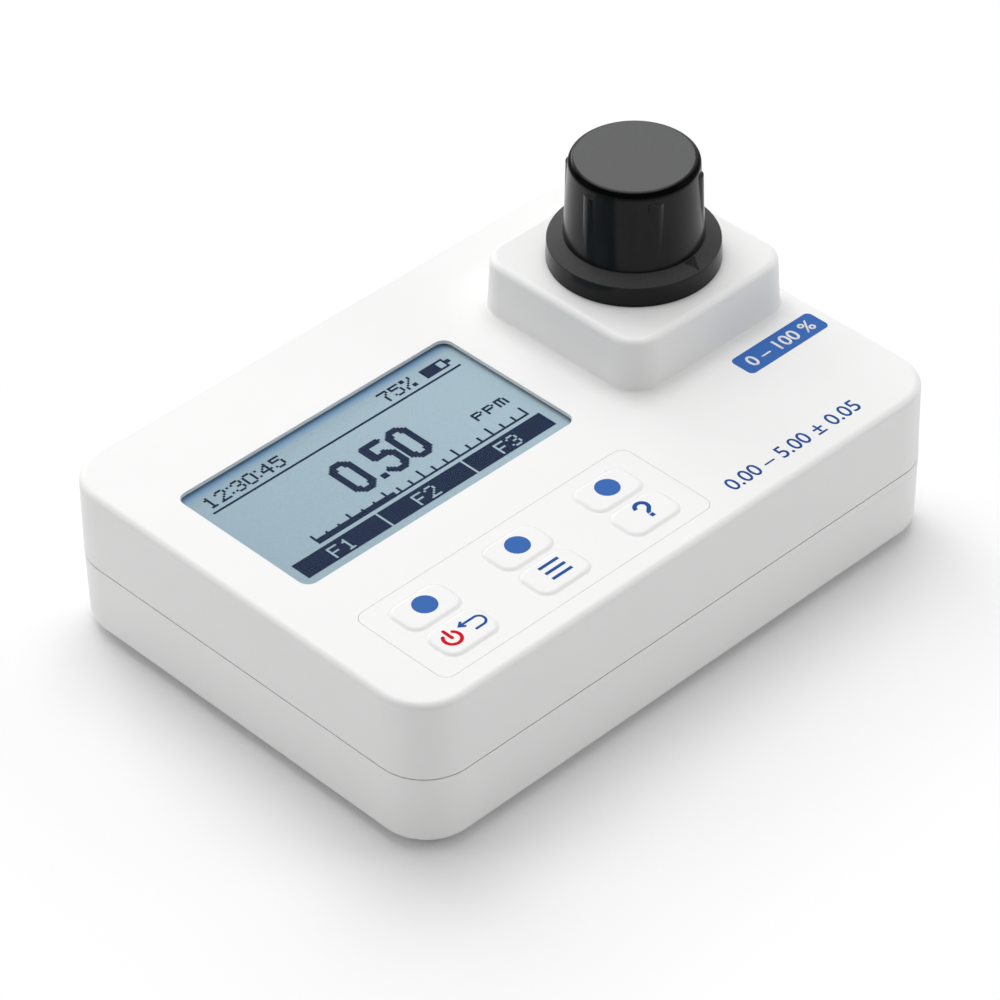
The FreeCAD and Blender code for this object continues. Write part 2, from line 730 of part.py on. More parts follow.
def make_lower_case():
    """Base shell: tongue for the seam, closed battery bay, screw bosses and foot recesses."""
    body = new_body("lower_case")
    edge = f"{SEAM} - seam_gap / 2"
    height = "lower_height - seam_gap / 2"
    shell = plate_pad(body, case_outline("0"), height, z=edge, forward=False, draft="-side_draft")
    round_edges(body, shell, "base_round", level_edges(BASE))
    plate_pocket(body, case_outline("wall"), f"{edge} - {FLOOR}", z=edge)
    tongue = case_outline("skirt_wall + fit_gap")
    pad(body, ring_sketch(body, tongue, case_outline("wall"), z=edge), "tongue_height")
    round_pad(body, "lower_boss_radius", f"{SEAM} - {FLOOR}", CASE_SCREW_SPOTS, FLOOR)
    round_pocket(body, "case_screw_radius + screw_gap", f"{SEAM} - {BASE}", CASE_SCREW_SPOTS, SEAM)
    sink_radius = "case_head_radius + 2 * screw_gap"
    round_pocket(body, sink_radius, "case_screw_sink", CASE_SCREW_SPOTS, BASE, forward=True)
    ledge = (f"{COVER_LENGTH} + 2 * wall", f"{COVER_DEPTH} + 2 * wall", "cover_corner + wall")
    plate_pad(body, ledge, "ledge_height", [BAY], FLOOR)
    bay_shell = (f"{BAY_LENGTH} + 2 * bay_wall", f"{BAY_DEPTH} + 2 * bay_wall", "bay_corner + bay_wall")
    plate_pad(body, bay_shell, f"{BAY_HEIGHT} + bay_wall", [BAY], FLOOR)
    boss_height = "cover_screw_bite + 2 * screw_hole_end"
    round_pad(body, "cover_boss_radius", boss_height, COVER_SCREW_SPOTS, FLOOR)
    recess = (f"{COVER_LENGTH} + 2 * fit_gap", f"{COVER_DEPTH} + 2 * fit_gap", "cover_corner + fit_gap")
    plate_pocket(body, recess, "wall", [BAY], FLOOR)
    plate_pocket(body, (BAY_LENGTH, BAY_DEPTH, "bay_corner"), BAY_HEIGHT, [BAY], FLOOR, forward=True)
    outer, inner = battery_seal_outlines("0")
    pocket(body, ring_sketch(body, outer, inner, BAY, FLOOR), "battery_seal_height", forward=True)
    hole_radius = "cover_screw_radius + screw_gap / 2"
    hole_depth = "cover_screw_bite + screw_hole_end"
    round_pocket(body, hole_radius, hole_depth, COVER_SCREW_SPOTS, FLOOR, forward=True)
    roof = f"{FLOOR} + {BAY_HEIGHT}"
    round_pocket(body, "battery_pin_radius + screw_gap", "bay_wall", BATTERY_PIN_SPOTS, roof, forward=True)
    round_pocket(body, "foot_radius + fit_gap", "foot_sink", FOOT_SPOTS, BASE, forward=True)


def battery_seal_outlines(slack):
    """Gives the outer and inner outline of the battery seal or, with no slack, of its groove."""
    outlines = []
    for reach in (f"battery_seal_inset + battery_seal_width - {slack}", f"battery_seal_inset + {slack}"):
        width = f"{BAY_LENGTH} + 2 * ({reach})"
        depth = f"{BAY_DEPTH} + 2 * ({reach})"
        outlines.append((width, depth, f"bay_corner + {reach}"))
    return outlines


def make_case_seal():
    """Rubber ring between the tongue of the base and the ledge of the top shell."""
    body = new_body("case_seal", z=f"{SEAM} - seam_gap / 2 + tongue_height")
    outer = case_outline("skirt_wall + fit_gap")
    pad(body, ring_sketch(body, outer, case_outline("wall")), "case_seal_height")


def make_screw(name, shank, head, length, head_height, spot, z):
    """Makes an upright screw with its head down; z is the seat under its head."""
    head_disc = cylinder(f"{name}_head", head, head_height, *spot, f"{z} - {head_height}")
    stem = cylinder(f"{name}_stem", shank, length, *spot, z)
    blank = fuse(f"{name}_blank", [head_disc, stem])
    base = f"{z} - {head_height}"
    arm_length = f"cross_span * {head}"
    bars = [
        box(f"{name}_bar", arm_length, "cross_width", "cross_depth", *spot, base),
        box(f"{name}_bar", "cross_width", arm_length, "cross_depth", *spot, base),
    ]
    return cut(name, blank, fuse(f"{name}_cross", bars))


def make_screw_group(label, kind, length, spots, seat):
    """Makes a group of like screws; kind names the sizes of their shank and head."""
    shank, head, head_height = kind
    screws = [make_screw(label[:-1], shank, head, length, head_height, spot, seat) for spot in spots]
    group(label, screws)


def make_screws():
    case_kind = ("case_screw_radius", "case_head_radius", "case_head_height")
    length = f"{SEAM} - {BASE} - case_screw_sink + case_screw_bite"
    make_screw_group("case_screws", case_kind, length, CASE_SCREW_SPOTS, f"({BASE} + case_screw_sink)")
    cover_kind = ("cover_screw_radius", "cover_head_radius", "cover_head_height")
    length = "wall - cover_head_height - screw_gap + cover_screw_bite"
    seat = f"({BASE} + cover_head_height + screw_gap)"
    make_screw_group("battery_screws", cover_kind, length, COVER_SCREW_SPOTS, seat)
    small_kind = ("small_screw_radius", "small_head_radius", "small_head_height")
    make_screw_group("board_screws", small_kind, "small_screw_length", BOARD_SPOTS, BOARD_BOTTOM)
    seat = f"({KEYPAD_TOP} - board_thickness)"
    make_screw_group("keypad_screws", small_kind, "small_screw_length", KEYPAD_POST_SPOTS, seat)


def make_feet():
    """Four tapered rubber feet, let into the base."""
    feet = []
    for spot in FOOT_SPOTS:
        foot = doc.addObject("Part::Cone", "rubber_foot")
        bind(foot, "Radius1", "foot_radius - foot_taper")
        bind(foot, "Radius2", "foot_radius")
        bind(foot, "Height", "foot_height + foot_sink")
        place(foot, *spot)
        feet.append(foot)
    group("rubber_feet", feet)


# Battery bay

def make_battery_cover():
    """Flush cover plate with sunk screw holes and two ribs that steady the cells."""
    body = new_body("battery_cover", BAY_X, "0", BASE)
    plate_pad(body, (COVER_LENGTH, COVER_DEPTH, "cover_corner"), "wall")
    rib = ("cover_rib_width", f"{BAY_DEPTH} - 2 * cell_gap", "moulded_corner")
    rib_spots = [(f"{side} * cover_rib_spread / 2", "0") for side in (-1, 1)]
    plate_pad(body, rib, "cover_rib_height", rib_spots, "wall")
    spots = corner_spots(COVER_LENGTH, COVER_DEPTH, "cover_screw_inset", "cover_screw_inset")
    round_pocket(body, "cover_screw_radius + screw_gap", "wall", spots, "wall")
    sink = "cover_head_height + screw_gap"
    round_pocket(body, "cover_head_radius + 2 * screw_gap", sink, spots, forward=True)


def make_battery_seal():
    body = new_body("battery_seal", BAY_X, "0", FLOOR)
    outer, inner = battery_seal_outlines("screw_gap")
    pad(body, ring_sketch(body, outer, inner), "battery_seal_height")


def make_batteries():
    """Three round cells, nose to tail by turns, each with a nub at its positive end."""
    for index in range(CELL_COUNT):
        back = f"{index - 1} * {CELL_PITCH}"
        forward = 1 if index % 2 == 0 else -1
        turn = TO_RIGHT if forward == 1 else TO_LEFT
        start = f"{BAY_X} - {forward} * cell_length / 2"
        can_length = "cell_length - cell_nub_height"
        can = cylinder("cell_can", "cell_diameter / 2", can_length, start, back, CELL_Z, turn)
        nub_start = f"{start} + {forward} * ({can_length})"
        nub = cylinder("cell_nub", "cell_nub_radius", "cell_nub_height", nub_start, back, CELL_Z, turn)
        keep(fuse("cell", [can, nub]), f"battery_cell_{index + 1}")


def make_battery_contacts():
    """Sheet contacts on both end walls of the bay, each with a bow that presses on its cell."""
    contacts = []
    bow = "contact_room - contact_sheet - optic_gap"
    for index in range(CELL_COUNT):
        back = f"{index - 1} * {CELL_PITCH}"
        for side in (-1, 1):
            wall_x = f"{BAY_X} + {side} * ({BAY_LENGTH} / 2 - contact_sheet / 2)"
            low = f"{CELL_Z} - contact_height / 2"
            sheet_plate = box("contact_plate", "contact_sheet", "contact_width", "contact_height",
                              wall_x, back, low)
            turn = Rotation(Vector(0, 0, -side), Vector(-side, 0, 0), Vector(0, 1, 0), "ZYX")
            bow_x = f"{BAY_X} + {side} * ({BAY_LENGTH} / 2 - contact_sheet)"
            bow_y = f"{back} - contact_width / 2"
            outer = cylinder("contact_bow", bow, "contact_width", bow_x, bow_y, CELL_Z, turn, 180)
            inner = cylinder("contact_bow", f"{bow} - contact_sheet", "contact_width",
                             bow_x, bow_y, CELL_Z, turn, 180)
            contacts.append(fuse("contact", [sheet_plate, cut("contact_spring", outer, inner)]))
    group("battery_contacts", contacts)


def make_battery_pins():
    """Two pins through the roof of the bay, from the end contacts to the main board."""
    low = f"({CELL_Z} + contact_height / 2 - contact_sheet)"
    length = f"{BOARD_BOTTOM} - {low}"
    pins = [cylinder("battery_pin", "battery_pin_radius", length, *spot, low) for spot in BATTERY_PIN_SPOTS]
    group("battery_pins", pins)


# Display

def make_display():
    """Stepped clear window, display glass, light guide and the frame that holds them."""
    window = new_body("display_window", SCREEN_X, SCREEN_Y, WINDOW_BOTTOM)
    flange = (MODULE_WIDTH, MODULE_DEPTH, "screen_corner")
    plate_pad(window, flange, "window_flange")
    pane = ("screen_width - 2 * fit_gap", "screen_depth - 2 * fit_gap", "screen_corner - fit_gap")
    plate_pad(window, pane, "screen_rim - screen_sink", z="window_flange")
    inner_width = f"{MODULE_WIDTH} - 2 * lcd_frame_wall"
    inner_depth = f"{MODULE_DEPTH} - 2 * lcd_frame_wall"
    glass_width = f"{inner_width} - 2 * fit_gap"
    glass_depth = f"{inner_depth} - 2 * fit_gap"
    glass = box("glass", glass_width, glass_depth, "lcd_thickness", SCREEN_X, SCREEN_Y, LCD_BOTTOM)
    keep(glass, "lcd_panel")
    guide = box("guide", glass_width, glass_depth, "backlight_thickness",
                SCREEN_X, SCREEN_Y, BACKLIGHT_BOTTOM)
    keep(guide, "lcd_backlight")
    tray = new_body("lcd_frame", SCREEN_X, SCREEN_Y, BACKLIGHT_BOTTOM)
    depth = "lcd_thickness + backlight_thickness + picture_gap"
    plate_pad(tray, flange, f"{depth} + lcd_frame_floor", z="-lcd_frame_floor")
    plate_pocket(tray, (inner_width, inner_depth, "fit_gap"), depth, forward=True)
    leg = ("lcd_leg", "lcd_leg", "moulded_corner")
    leg_length = f"{FRAME_BOTTOM} - {BOARD_TOP}"
    leg_spots = corner_spots(MODULE_WIDTH, MODULE_DEPTH, "lcd_leg_inset", "lcd_leg")
    plate_pad(tray, leg, leg_length, leg_spots, "-lcd_frame_floor", forward=False)


# Keypad

def make_keypad_panel():
    """Thin plate, flush with the top face, with an opening for each key."""
    body = new_body("keypad_panel", SCREEN_X, PAD_Y, f"{TOP} - pad_thickness")
    outline = ("screen_width - 2 * pad_gap", f"{PAD_DEPTH} - 2 * pad_gap", "pad_corner - pad_gap")
    plate_pad(body, outline, "pad_thickness")
    plate_pocket(body, key_outline("2 * key_gap"), "pad_thickness", key_spots(MIDDLE), "pad_thickness")


def make_key(label, spot):
    """Key with a soft sloped edge, a lip under the case and a stem that reaches into its switch."""
    body = new_body(label, *spot, TOP)
    lip_top = "-wall - screw_gap"
    plate_pad(body, key_outline("0"), "wall + screw_gap", z=lip_top)
    crown = plate_pad(body, key_outline("0"), "key_rise", draft="-key_slope")
    round_edges(body, crown, "key_edge", level_edges("key_rise"))
    plate_pad(body, key_outline("2 * key_lip"), "key_lip_height", z=lip_top, forward=False)
    lip_bottom = f"{lip_top} - key_lip_height"
    stem_length = f"{TOP} + {lip_bottom} - {SWITCH_TOP} + key_stem_entry"
    round_pad(body, "key_stem_radius", stem_length, z=lip_bottom, forward=False)


def make_keypad_electronics():
    """Keypad board, its six switches and the ribbon to the main board."""
    width = f"2 * {KEY_PITCH_ACROSS} + 2 * keypad_edge"
    board = new_body("keypad_board", SCREEN_X, PAD_Y, f"{KEYPAD_TOP} - board_thickness")
    plate_pad(board, (width, KEYPAD_BOARD_DEPTH, "screen_lap"), "board_thickness")
    hole_radius = "small_screw_radius + screw_gap"
    round_pocket(board, hole_radius, "board_thickness", keypad_post_spots(MIDDLE), "board_thickness")
    switches = []
    for spot in KEY_SPOTS:
        case = box("switch_case", "switch_side", "switch_side", "switch_height", *spot, KEYPAD_TOP)
        hole_base = f"{SWITCH_TOP} - switch_hole_depth"
        hole = cylinder("switch_hole", "key_stem_radius + fit_gap", "switch_hole_depth", *spot, hole_base)
        switches.append(cut("switch", case, hole))
    group("tact_switches", switches)
    make_ribbon()


def make_ribbon():
    """Bent flat ribbon from the top of the keypad board down to the top of the main board."""
    start = f"{PAD_Y} + {KEYPAD_BOARD_DEPTH} / 2 - screen_lap"
    body = new_body("keypad_ribbon", SCREEN_X, start, BOARD_TOP)
    drop = f"{KEYPAD_TOP} - {BOARD_TOP}"
    run = "(screen_lap + ribbon_thickness)"
    landing = f"{BOARD_FRONT} - ({start}) + ribbon_thickness"
    end = f"{landing} + ribbon_landing"
    outline = [
        ("0", drop),
        (run, drop),
        (landing, "0"),
        (end, "0"),
        (end, "ribbon_thickness"),
        (f"{landing} + ribbon_thickness", "ribbon_thickness"),
        (f"{run} + ribbon_thickness", f"{drop} + ribbon_thickness"),
        ("0", f"{drop} + ribbon_thickness"),
    ]
    sketch = new_sketch(body, "YZ_Plane")
    draw_polygon(sketch, outline)
    pad(body, sketch, "ribbon_width", both=True)


# Main board

def make_main_board():
    """Board with its chips, two lead connectors, beeper and the cell that keeps the clock going."""
    body = new_body("main_board", BOARD_X, BOARD_Y, BOARD_BOTTOM)
    plate_pad(body, (BOARD_WIDTH, BOARD_DEPTH, "screen_lap"), "board_thickness")
    spots = corner_spots(BOARD_WIDTH, BOARD_DEPTH, "board_post_inset", "board_post_inset")
    round_pocket(body, "small_screw_radius + screw_gap", "board_thickness", spots, "board_thickness")
    chips = []
    for across, side in ((-1, "large_chip_side"), (0, "small_chip_side"), (1, "small_chip_side")):
        x = f"{SCREEN_X} + {across} * chip_pitch"
        chips.append(box("chip", side, side, "chip_height", x, SCREEN_Y, BOARD_TOP))
    group("board_chips", chips)
    connectors = [
        box("connector", "connector_width", "connector_length", "connector_height",
            CONNECTOR_X, connector_y(side), BOARD_TOP)
        for side in (-1, 1)
    ]
    group("board_connectors", connectors)
    strip = f"{BOARD_BACK} - beeper_radius"
    keep(cylinder("sounder", "beeper_radius", "beeper_height", SCREEN_X, strip, BOARD_TOP), "beeper")
    low = f"{BOARD_BOTTOM} - clock_cell_height"
    cell = cylinder("coin", "clock_cell_radius", "clock_cell_height", BOARD_X, BOARD_Y, low)
    keep(cell, "clock_cell")


def connector_y(side):
    """Gives the place along the board's right edge of the front or back lead connector."""
    return f"{BOARD_Y} + {side} * connector_spread / 2"


# Cuvette well and optics

def make_cuvette_holder():
    """Black well: a turned tube with a flange and a collar, two optic arms and the beam's ports."""
    body = new_body("cuvette_holder", BLOCK_X, BLOCK_Y, FLOOR)
    flange_top = f"{BLOCK_TOP} - wall - holder_seal_height - {FLOOR}"
    flange_bottom = f"{flange_top} - holder_flange_height"
    rim = f"{COLLAR_TOP} - {FLOOR}"
    turned(body, "Revolution", [
        ("0", "0"),
        (HOLDER_RADIUS, "0"),
        (HOLDER_RADIUS, flange_bottom),
        (FLANGE_RADIUS, flange_bottom),
        (FLANGE_RADIUS, flange_top),
        (HOLDER_RADIUS, flange_top),
        (HOLDER_RADIUS, rim),
        ("0", rim),
    ])
    beam = f"{BEAM_Z} - {FLOOR}"
    arms = new_sketch(body, "XZ_Plane", y=beam)
    draw_circle(arms, "arm_radius")
    pad(body, arms, f"2 * {ARM_REACH}", both=True)
    turned(body, "Groove", [
        ("0", "well_floor"),
        ("well_radius", "well_floor"),
        ("well_radius", f"{rim} - well_chamfer"),
        ("well_radius + well_chamfer", rim),
        ("0", rim),
    ])
    ports = new_sketch(body, "XZ_Plane", y=beam)
    draw_circle(ports, "port_radius")
    pocket(body, ports, f"2 * {ARM_REACH}", both=True)
    seal = new_body("holder_seal", BLOCK_X, BLOCK_Y, f"{FLOOR} + {flange_top}")
    ring = new_sketch(seal)
    draw_circle(ring, FLANGE_RADIUS)
    draw_circle(ring, f"{HOLDER_RADIUS} + fit_gap")
    pad(seal, ring, "holder_seal_height")


def make_lamp():
    """Lamp barrel in front of the well, with the lamp, lens, filter, beam splitter and reference cell."""
    barrel = new_body("lamp_barrel", BLOCK_X, LAMP_FACE, BEAM_Z)
    wall_ring = new_sketch(barrel, "XZ_Plane")
    draw_circle(wall_ring, "arm_radius")
    pad(barrel, wall_ring, LAMP_BARREL_LENGTH)
    boss_spot = ("0", f"-{SPLITTER_PLACE}")
    round_pad(barrel, "reference_boss_radius", "reference_boss_height", [boss_spot])
    bore = new_sketch(barrel, "XZ_Plane")
    draw_circle(bore, "barrel_bore")
    pocket(barrel, bore, LAMP_BARREL_LENGTH, forward=True)
    sensor_hole = "reference_radius + optic_gap"
    round_pocket(barrel, sensor_hole, "reference_boss_height", [boss_spot], "reference_boss_height")
    board_y = f"{LAMP_END} - board_thickness / 2"
    low = f"{BEAM_Z} - optic_board_side / 2"
    board = box("lamp_plate", "optic_board_side", "board_thickness", "optic_board_side",
                BLOCK_X, board_y, low)
    keep(board, "lamp_board")
    stem_length = "led_length - led_radius"
    bulb_y = f"{LAMP_END} + {stem_length}"
    led_foot = (BLOCK_X, LAMP_END, BEAM_Z, TO_BACK)
    led = fuse("led", [
        cylinder("led_rim", "led_radius + led_rim", "led_rim_height", *led_foot),
        cylinder("led_stem", "led_radius", stem_length, *led_foot),
        sphere("led_dome", "led_radius", BLOCK_X, bulb_y, BEAM_Z),
    ])
    keep(led, "lamp_led")
    lens_edge = "(barrel_bore - optic_gap)"
    curve = f"(({lens_edge} * {lens_edge} + lens_thickness * lens_thickness / 4) / lens_thickness)"
    middle = f"{LAMP_FACE} - {LENS_PLACE} - lens_thickness / 2"
    offset = f"({curve} - lens_thickness / 2)"
    front = sphere("lens_front", curve, BLOCK_X, f"{middle} - {offset}", BEAM_Z)
    back = sphere("lens_back", curve, BLOCK_X, f"{middle} + {offset}", BEAM_Z)
    keep(common("lens", front, back), "lamp_lens")
    filter_y = f"{LAMP_FACE} - {FILTER_PLACE}"
    disc = cylinder("filter", lens_edge, "filter_thickness", BLOCK_X, filter_y, BEAM_Z, TO_FRONT)
    keep(disc, "lamp_filter")
    cell_y = f"{LAMP_FACE} - {SPLITTER_PLACE}"
    splitter = new_body("beam_splitter", BLOCK_X, cell_y, BEAM_Z, HALF_TO_BACK)
    plate = (SPLITTER_WIDTH, SPLITTER_LENGTH, "splitter_thickness / 2")
    plate_pad(splitter, plate, "splitter_thickness", z="-splitter_thickness / 2")
    cell_low = f"{BEAM_Z} + reference_boss_height - reference_height"
    cell = cylinder("reference", "reference_radius", "reference_height", BLOCK_X, cell_y, cell_low)
    keep(cell, "reference_detector")


def make_detector():
    """Detector barrel behind the well, with the detector can and its board."""
    barrel = new_body("detector_barrel", BLOCK_X, DETECTOR_END, BEAM_Z)
    ring = new_sketch(barrel, "XZ_Plane")
    draw_circle(ring, "arm_radius")
    draw_circle(ring, "barrel_bore")
    pad(barrel, ring, "detector_barrel_length")
    can = cylinder("detector", "barrel_bore - optic_gap", "detector_height", BLOCK_X, DETECTOR_END,
                   BEAM_Z, TO_FRONT)
    keep(can, "sample_detector")
    board_y = f"{DETECTOR_END} + board_thickness / 2"
    low = f"{BEAM_Z} - optic_board_side / 2"
    board = box("detector_plate", "optic_board_side", "board_thickness", "optic_board_side",
                BLOCK_X, board_y, low)
    keep(board, "detector_board")


def make_lead(label, route):
    """Sweeps a round lead along straight runs joined by tangent arcs."""
    points = [Vector(number(x), number(y), number(z)) for x, y, z in route]
    edges = []
    start = points[0]
    for before, corner, after in zip(points, points[1:], points[2:]):
        inward = (before - corner).normalize()
        outward = (after - corner).normalize()
        half_turn = (math.pi - inward.getAngle(outward)) / 2
        reach = BEND_SHARE * min((before - corner).Length, (after - corner).Length)
        radius = reach / math.tan(half_turn)
        enter = corner + inward * reach
        leave = corner + outward * reach
        bisector = (inward + outward).normalize()
        middle = corner + bisector * (radius / math.cos(half_turn) - radius)
        edges.append(Part.LineSegment(start, enter).toShape())
        edges.append(Part.Arc(enter, middle, leave).toShape())
        start = leave
    edges.append(Part.LineSegment(start, points[-1]).toShape())
    path = Part.Wire(edges)
    section = Part.Circle(points[0], points[1] - points[0], number("lead_radius")).toShape()
    solid = path.makePipeShell([Part.Wire([section])], True, False)
    feature = doc.addObject("Part::Feature", label)
    feature.Shape = solid
    keep(feature, label)


def make_leads():
    """Leads from the lamp board and the detector board to the connectors on the main board."""
    lead_x = f"{BLOCK_X} - arm_radius"
    side_x = f"({CONNECTOR_X} + connector_width / 2 + lead_bow)"
    lead_z = f"{BOARD_TOP} + connector_height / 2"
    lamp_back = f"{LAMP_END} - board_thickness"
    make_lead("lamp_lead", [
        (lead_x, lamp_back, BEAM_Z),
        (lead_x, f"{lamp_back} - lead_stub", BEAM_Z),
        (side_x, f"{lamp_back} - lead_stub", f"{BEAM_Z} + lead_radius"),
        (side_x, connector_y(-1), lead_z),
        (f"{CONNECTOR_X} + connector_width / 2", connector_y(-1), lead_z),
    ])
    detector_back = f"{DETECTOR_END} + board_thickness"
    make_lead("detector_lead", [
        (lead_x, detector_back, BEAM_Z),
        (lead_x, f"{detector_back} + lead_stub", BEAM_Z),
        (side_x, f"{detector_back} + lead_stub", f"{BEAM_Z} + lead_radius"),
        (side_x, connector_y(1), lead_z),
        (f"{CONNECTOR_X} + connector_width / 2", connector_y(1), lead_z),
    ])


# Light cap

def make_cap():
    """Hollow turned cap with a sloped flange, grip ribs that fade into its taper and an index groove."""
    seat = f"{BLOCK_TOP} + cap_seat"
    body = new_body("cap", BLOCK_X, BLOCK_Y, seat)
    bind(body, "Placement.Rotation.Angle", "cap_turn")
    shoulder = f"({CAP_FLANGE_RADIUS} - cap_flange_lean)"
    slope_top = "cap_flange_height + cap_slope_height"
    blank = turned(body, "Revolution", [
        ("0", "0"),
        (CAP_FLANGE_RADIUS, "0"),
        (shoulder, "cap_flange_height"),
        (CAP_BASE_RADIUS, slope_top),
        (CAP_TOP_RADIUS, "cap_height"),
        ("0", "cap_height"),
    ])
    blank = round_edges(body, blank, "cap_round", level_edges("cap_height"))
    flange_edges = level_edges("cap_flange_height")
    round_edges(body, blank, "cap_edge_round", flange_edges)
    rib_top = "cap_height - rib_drop"
    rib_sketch = new_sketch(body, "XY_Plane", f"{RIB_REACH} - rib_radius", "0", rib_top)
    draw_circle(rib_sketch, "rib_radius")
    rib_length = f"{rib_top} - cap_flange_height"
    rib = pad(body, rib_sketch, rib_length, forward=False, draft="rib_draft")
    ring = body.newObject("PartDesign::PolarPattern", "cap_ribs")
    ring.Originals = [rib]
    ring.Axis = (next(axis for axis in body.Origin.OriginFeatures if axis.Role == "Z_Axis"), [""])
    ring.Angle = 360
    bind(ring, "Occurrences", "rib_count")
    body.Tip = ring
    doc.recompute()
    round_edges(body, ring, "rib_round", level_edges(rib_top))
    cut_index_mark(body, shoulder, slope_top)
    collar = "(collar_rise - cap_seat)"
    groove_top = f"({collar} + cap_seal_height + 3 * screw_gap)"
    crown = "cap_height - cap_wall"
    turned(body, "Groove", [
        ("0", "0"),
        (CAP_BORE, "0"),
        (CAP_BORE, collar),
        (f"{CAP_BORE} + cap_seal_undercut", collar),
        (f"{CAP_BORE} + cap_seal_undercut", groove_top),
        (f"{CAP_BASE_RADIUS} - cap_wall", groove_top),
        (f"{CAP_TOP_RADIUS} - cap_wall", crown),
        ("0", crown),
    ])
    ring_base = f"{collar} + screw_gap + screw_gap / 2"
    seal = new_body("cap_seal", BLOCK_X, BLOCK_Y, f"{seat} + {ring_base}")
    section = new_sketch(seal)
    outer = f"{CAP_BORE} + cap_seal_undercut - 2 * screw_gap"
    draw_circle(section, outer)
    draw_circle(section, f"{outer} - cap_seal_width")
    pad(seal, section, "cap_seal_height")


def cut_index_mark(body, shoulder, slope_top):
    """Cuts a groove in the flange's slope that narrows from the knob to a tip at the flange's edge."""
    slope = f"(cap_slope_height / ({shoulder} - {CAP_BASE_RADIUS}))"
    lift = "mark_tip / 2"
    sections = []
    for reach, width, depth in (
        (f"{CAP_BASE_RADIUS} + screw_gap", "mark_width", "mark_depth"),
        (f"{shoulder} - mark_tip", "mark_tip", "mark_tip / 2"),
    ):
        surface = f"({slope_top} - ({reach} - {CAP_BASE_RADIUS}) * {slope})"
        sketch = new_sketch(body, "XZ_Plane", "0", surface, reach)
        spread = f"{width} / 2"
        draw_polygon(sketch, [(f"-{spread}", lift), ("0", f"-{depth}"), (spread, lift)])
        doc.recompute()
        sections.append(sketch)
    before = volume_of(body)
    groove = body.newObject("PartDesign::SubtractiveLoft", "cap_index_mark")
    groove.Profile = sections[0]
    groove.Sections = sections[1:]
    groove.Ruled = True
    check_change(body, groove, before, False)


def check_and_export():
    """Checks every object and sub-part, then writes one STEP file for each sub-part."""
    doc.recompute()
    failed = [thing.Name for thing in doc.Objects if {"Invalid", "Error"} & set(thing.State)]
    for thing in subparts:
        if thing.Shape.isNull() or not thing.Shape.isValid():
            failed.append(thing.Label)
    if failed:
        raise RuntimeError(f"failed objects: {failed}")
    os.makedirs("parts", exist_ok=True)
    for thing in subparts:
        thing.Shape.exportStep(f"parts/{thing.Label}.step")
    print(len(subparts), "sub-parts written")


make_upper_case()
make_lower_case()
make_case_seal()
make_screws()
make_feet()
make_battery_cover()
make_battery_seal()
make_batteries()
make_battery_contacts()
make_battery_pins()
make_display()
make_keypad_panel()
for key_name, key_spot in zip(KEY_NAMES, KEY_SPOTS):
    make_key(key_name, key_spot)
make_keypad_electronics()
make_main_board()
make_cuvette_holder()
make_lamp()
make_detector()
make_leads()
make_cap()
check_and_export()
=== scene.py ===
# %% [markdown]
# # A portable photometer, dressed in Blender
# The instrument measures how much light a water sample lets through. It is a low white case with a
# display, six keys and a raised block. A black cap stands on the block and keeps daylight out of the well.
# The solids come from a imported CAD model, so this lesson adds what a solid can't carry: finishes, prints,
# the picture on the display, light and a camera. The scene is in metres, in the frame of the CAD model.

# %% Load the frame
import json
import math

import bmesh
import bpy
from mathutils import Matrix, Vector


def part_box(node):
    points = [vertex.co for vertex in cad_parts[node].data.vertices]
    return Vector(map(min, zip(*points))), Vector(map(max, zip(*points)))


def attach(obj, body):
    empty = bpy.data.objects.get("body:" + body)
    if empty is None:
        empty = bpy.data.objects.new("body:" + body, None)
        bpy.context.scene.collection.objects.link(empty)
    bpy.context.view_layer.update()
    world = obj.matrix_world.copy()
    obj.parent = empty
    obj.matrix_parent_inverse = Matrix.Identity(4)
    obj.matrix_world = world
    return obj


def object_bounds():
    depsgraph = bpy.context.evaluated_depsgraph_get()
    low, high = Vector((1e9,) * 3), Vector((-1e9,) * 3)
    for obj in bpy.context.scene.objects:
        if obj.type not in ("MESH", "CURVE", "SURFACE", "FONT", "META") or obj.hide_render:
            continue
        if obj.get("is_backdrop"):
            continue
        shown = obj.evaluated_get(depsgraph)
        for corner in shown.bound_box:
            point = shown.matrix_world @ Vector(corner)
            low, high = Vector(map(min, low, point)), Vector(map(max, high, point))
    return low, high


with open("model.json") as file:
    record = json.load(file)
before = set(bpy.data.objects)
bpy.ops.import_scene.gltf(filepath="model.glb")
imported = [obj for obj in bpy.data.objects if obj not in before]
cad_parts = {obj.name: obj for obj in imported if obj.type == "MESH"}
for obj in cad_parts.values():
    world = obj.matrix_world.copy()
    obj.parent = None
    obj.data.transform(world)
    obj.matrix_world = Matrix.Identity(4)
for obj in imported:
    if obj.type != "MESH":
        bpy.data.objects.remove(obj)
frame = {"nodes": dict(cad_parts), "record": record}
cad_low, cad_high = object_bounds()
nodes = frame["nodes"]
MM = 0.001
print(len(nodes), "nodes, box in mm:", [round(side / MM, 2) for side in cad_high - cad_low])

# %% [markdown]
# ## Camera
# The photograph was taken with a long lens from the front left, well above the table. The angles below
# were solved from the straight edges of the case. A camera can be aimed with a tracking constraint, but
# here its three axes are written into its matrix, because the picture is also rolled by about a degree.

# %% Camera
AZIMUTH = math.radians(-43.75)
ELEVATION = math.radians(39.34)
ROLL = math.radians(-1.01)
CAMERA_DISTANCE = 884.6 * MM
FOCAL_LENGTH = 161.84
AIM_HEIGHT = 20.3 * MM
AIM_ACROSS = -1.17 * MM
AIM_UP = -2.55 * MM

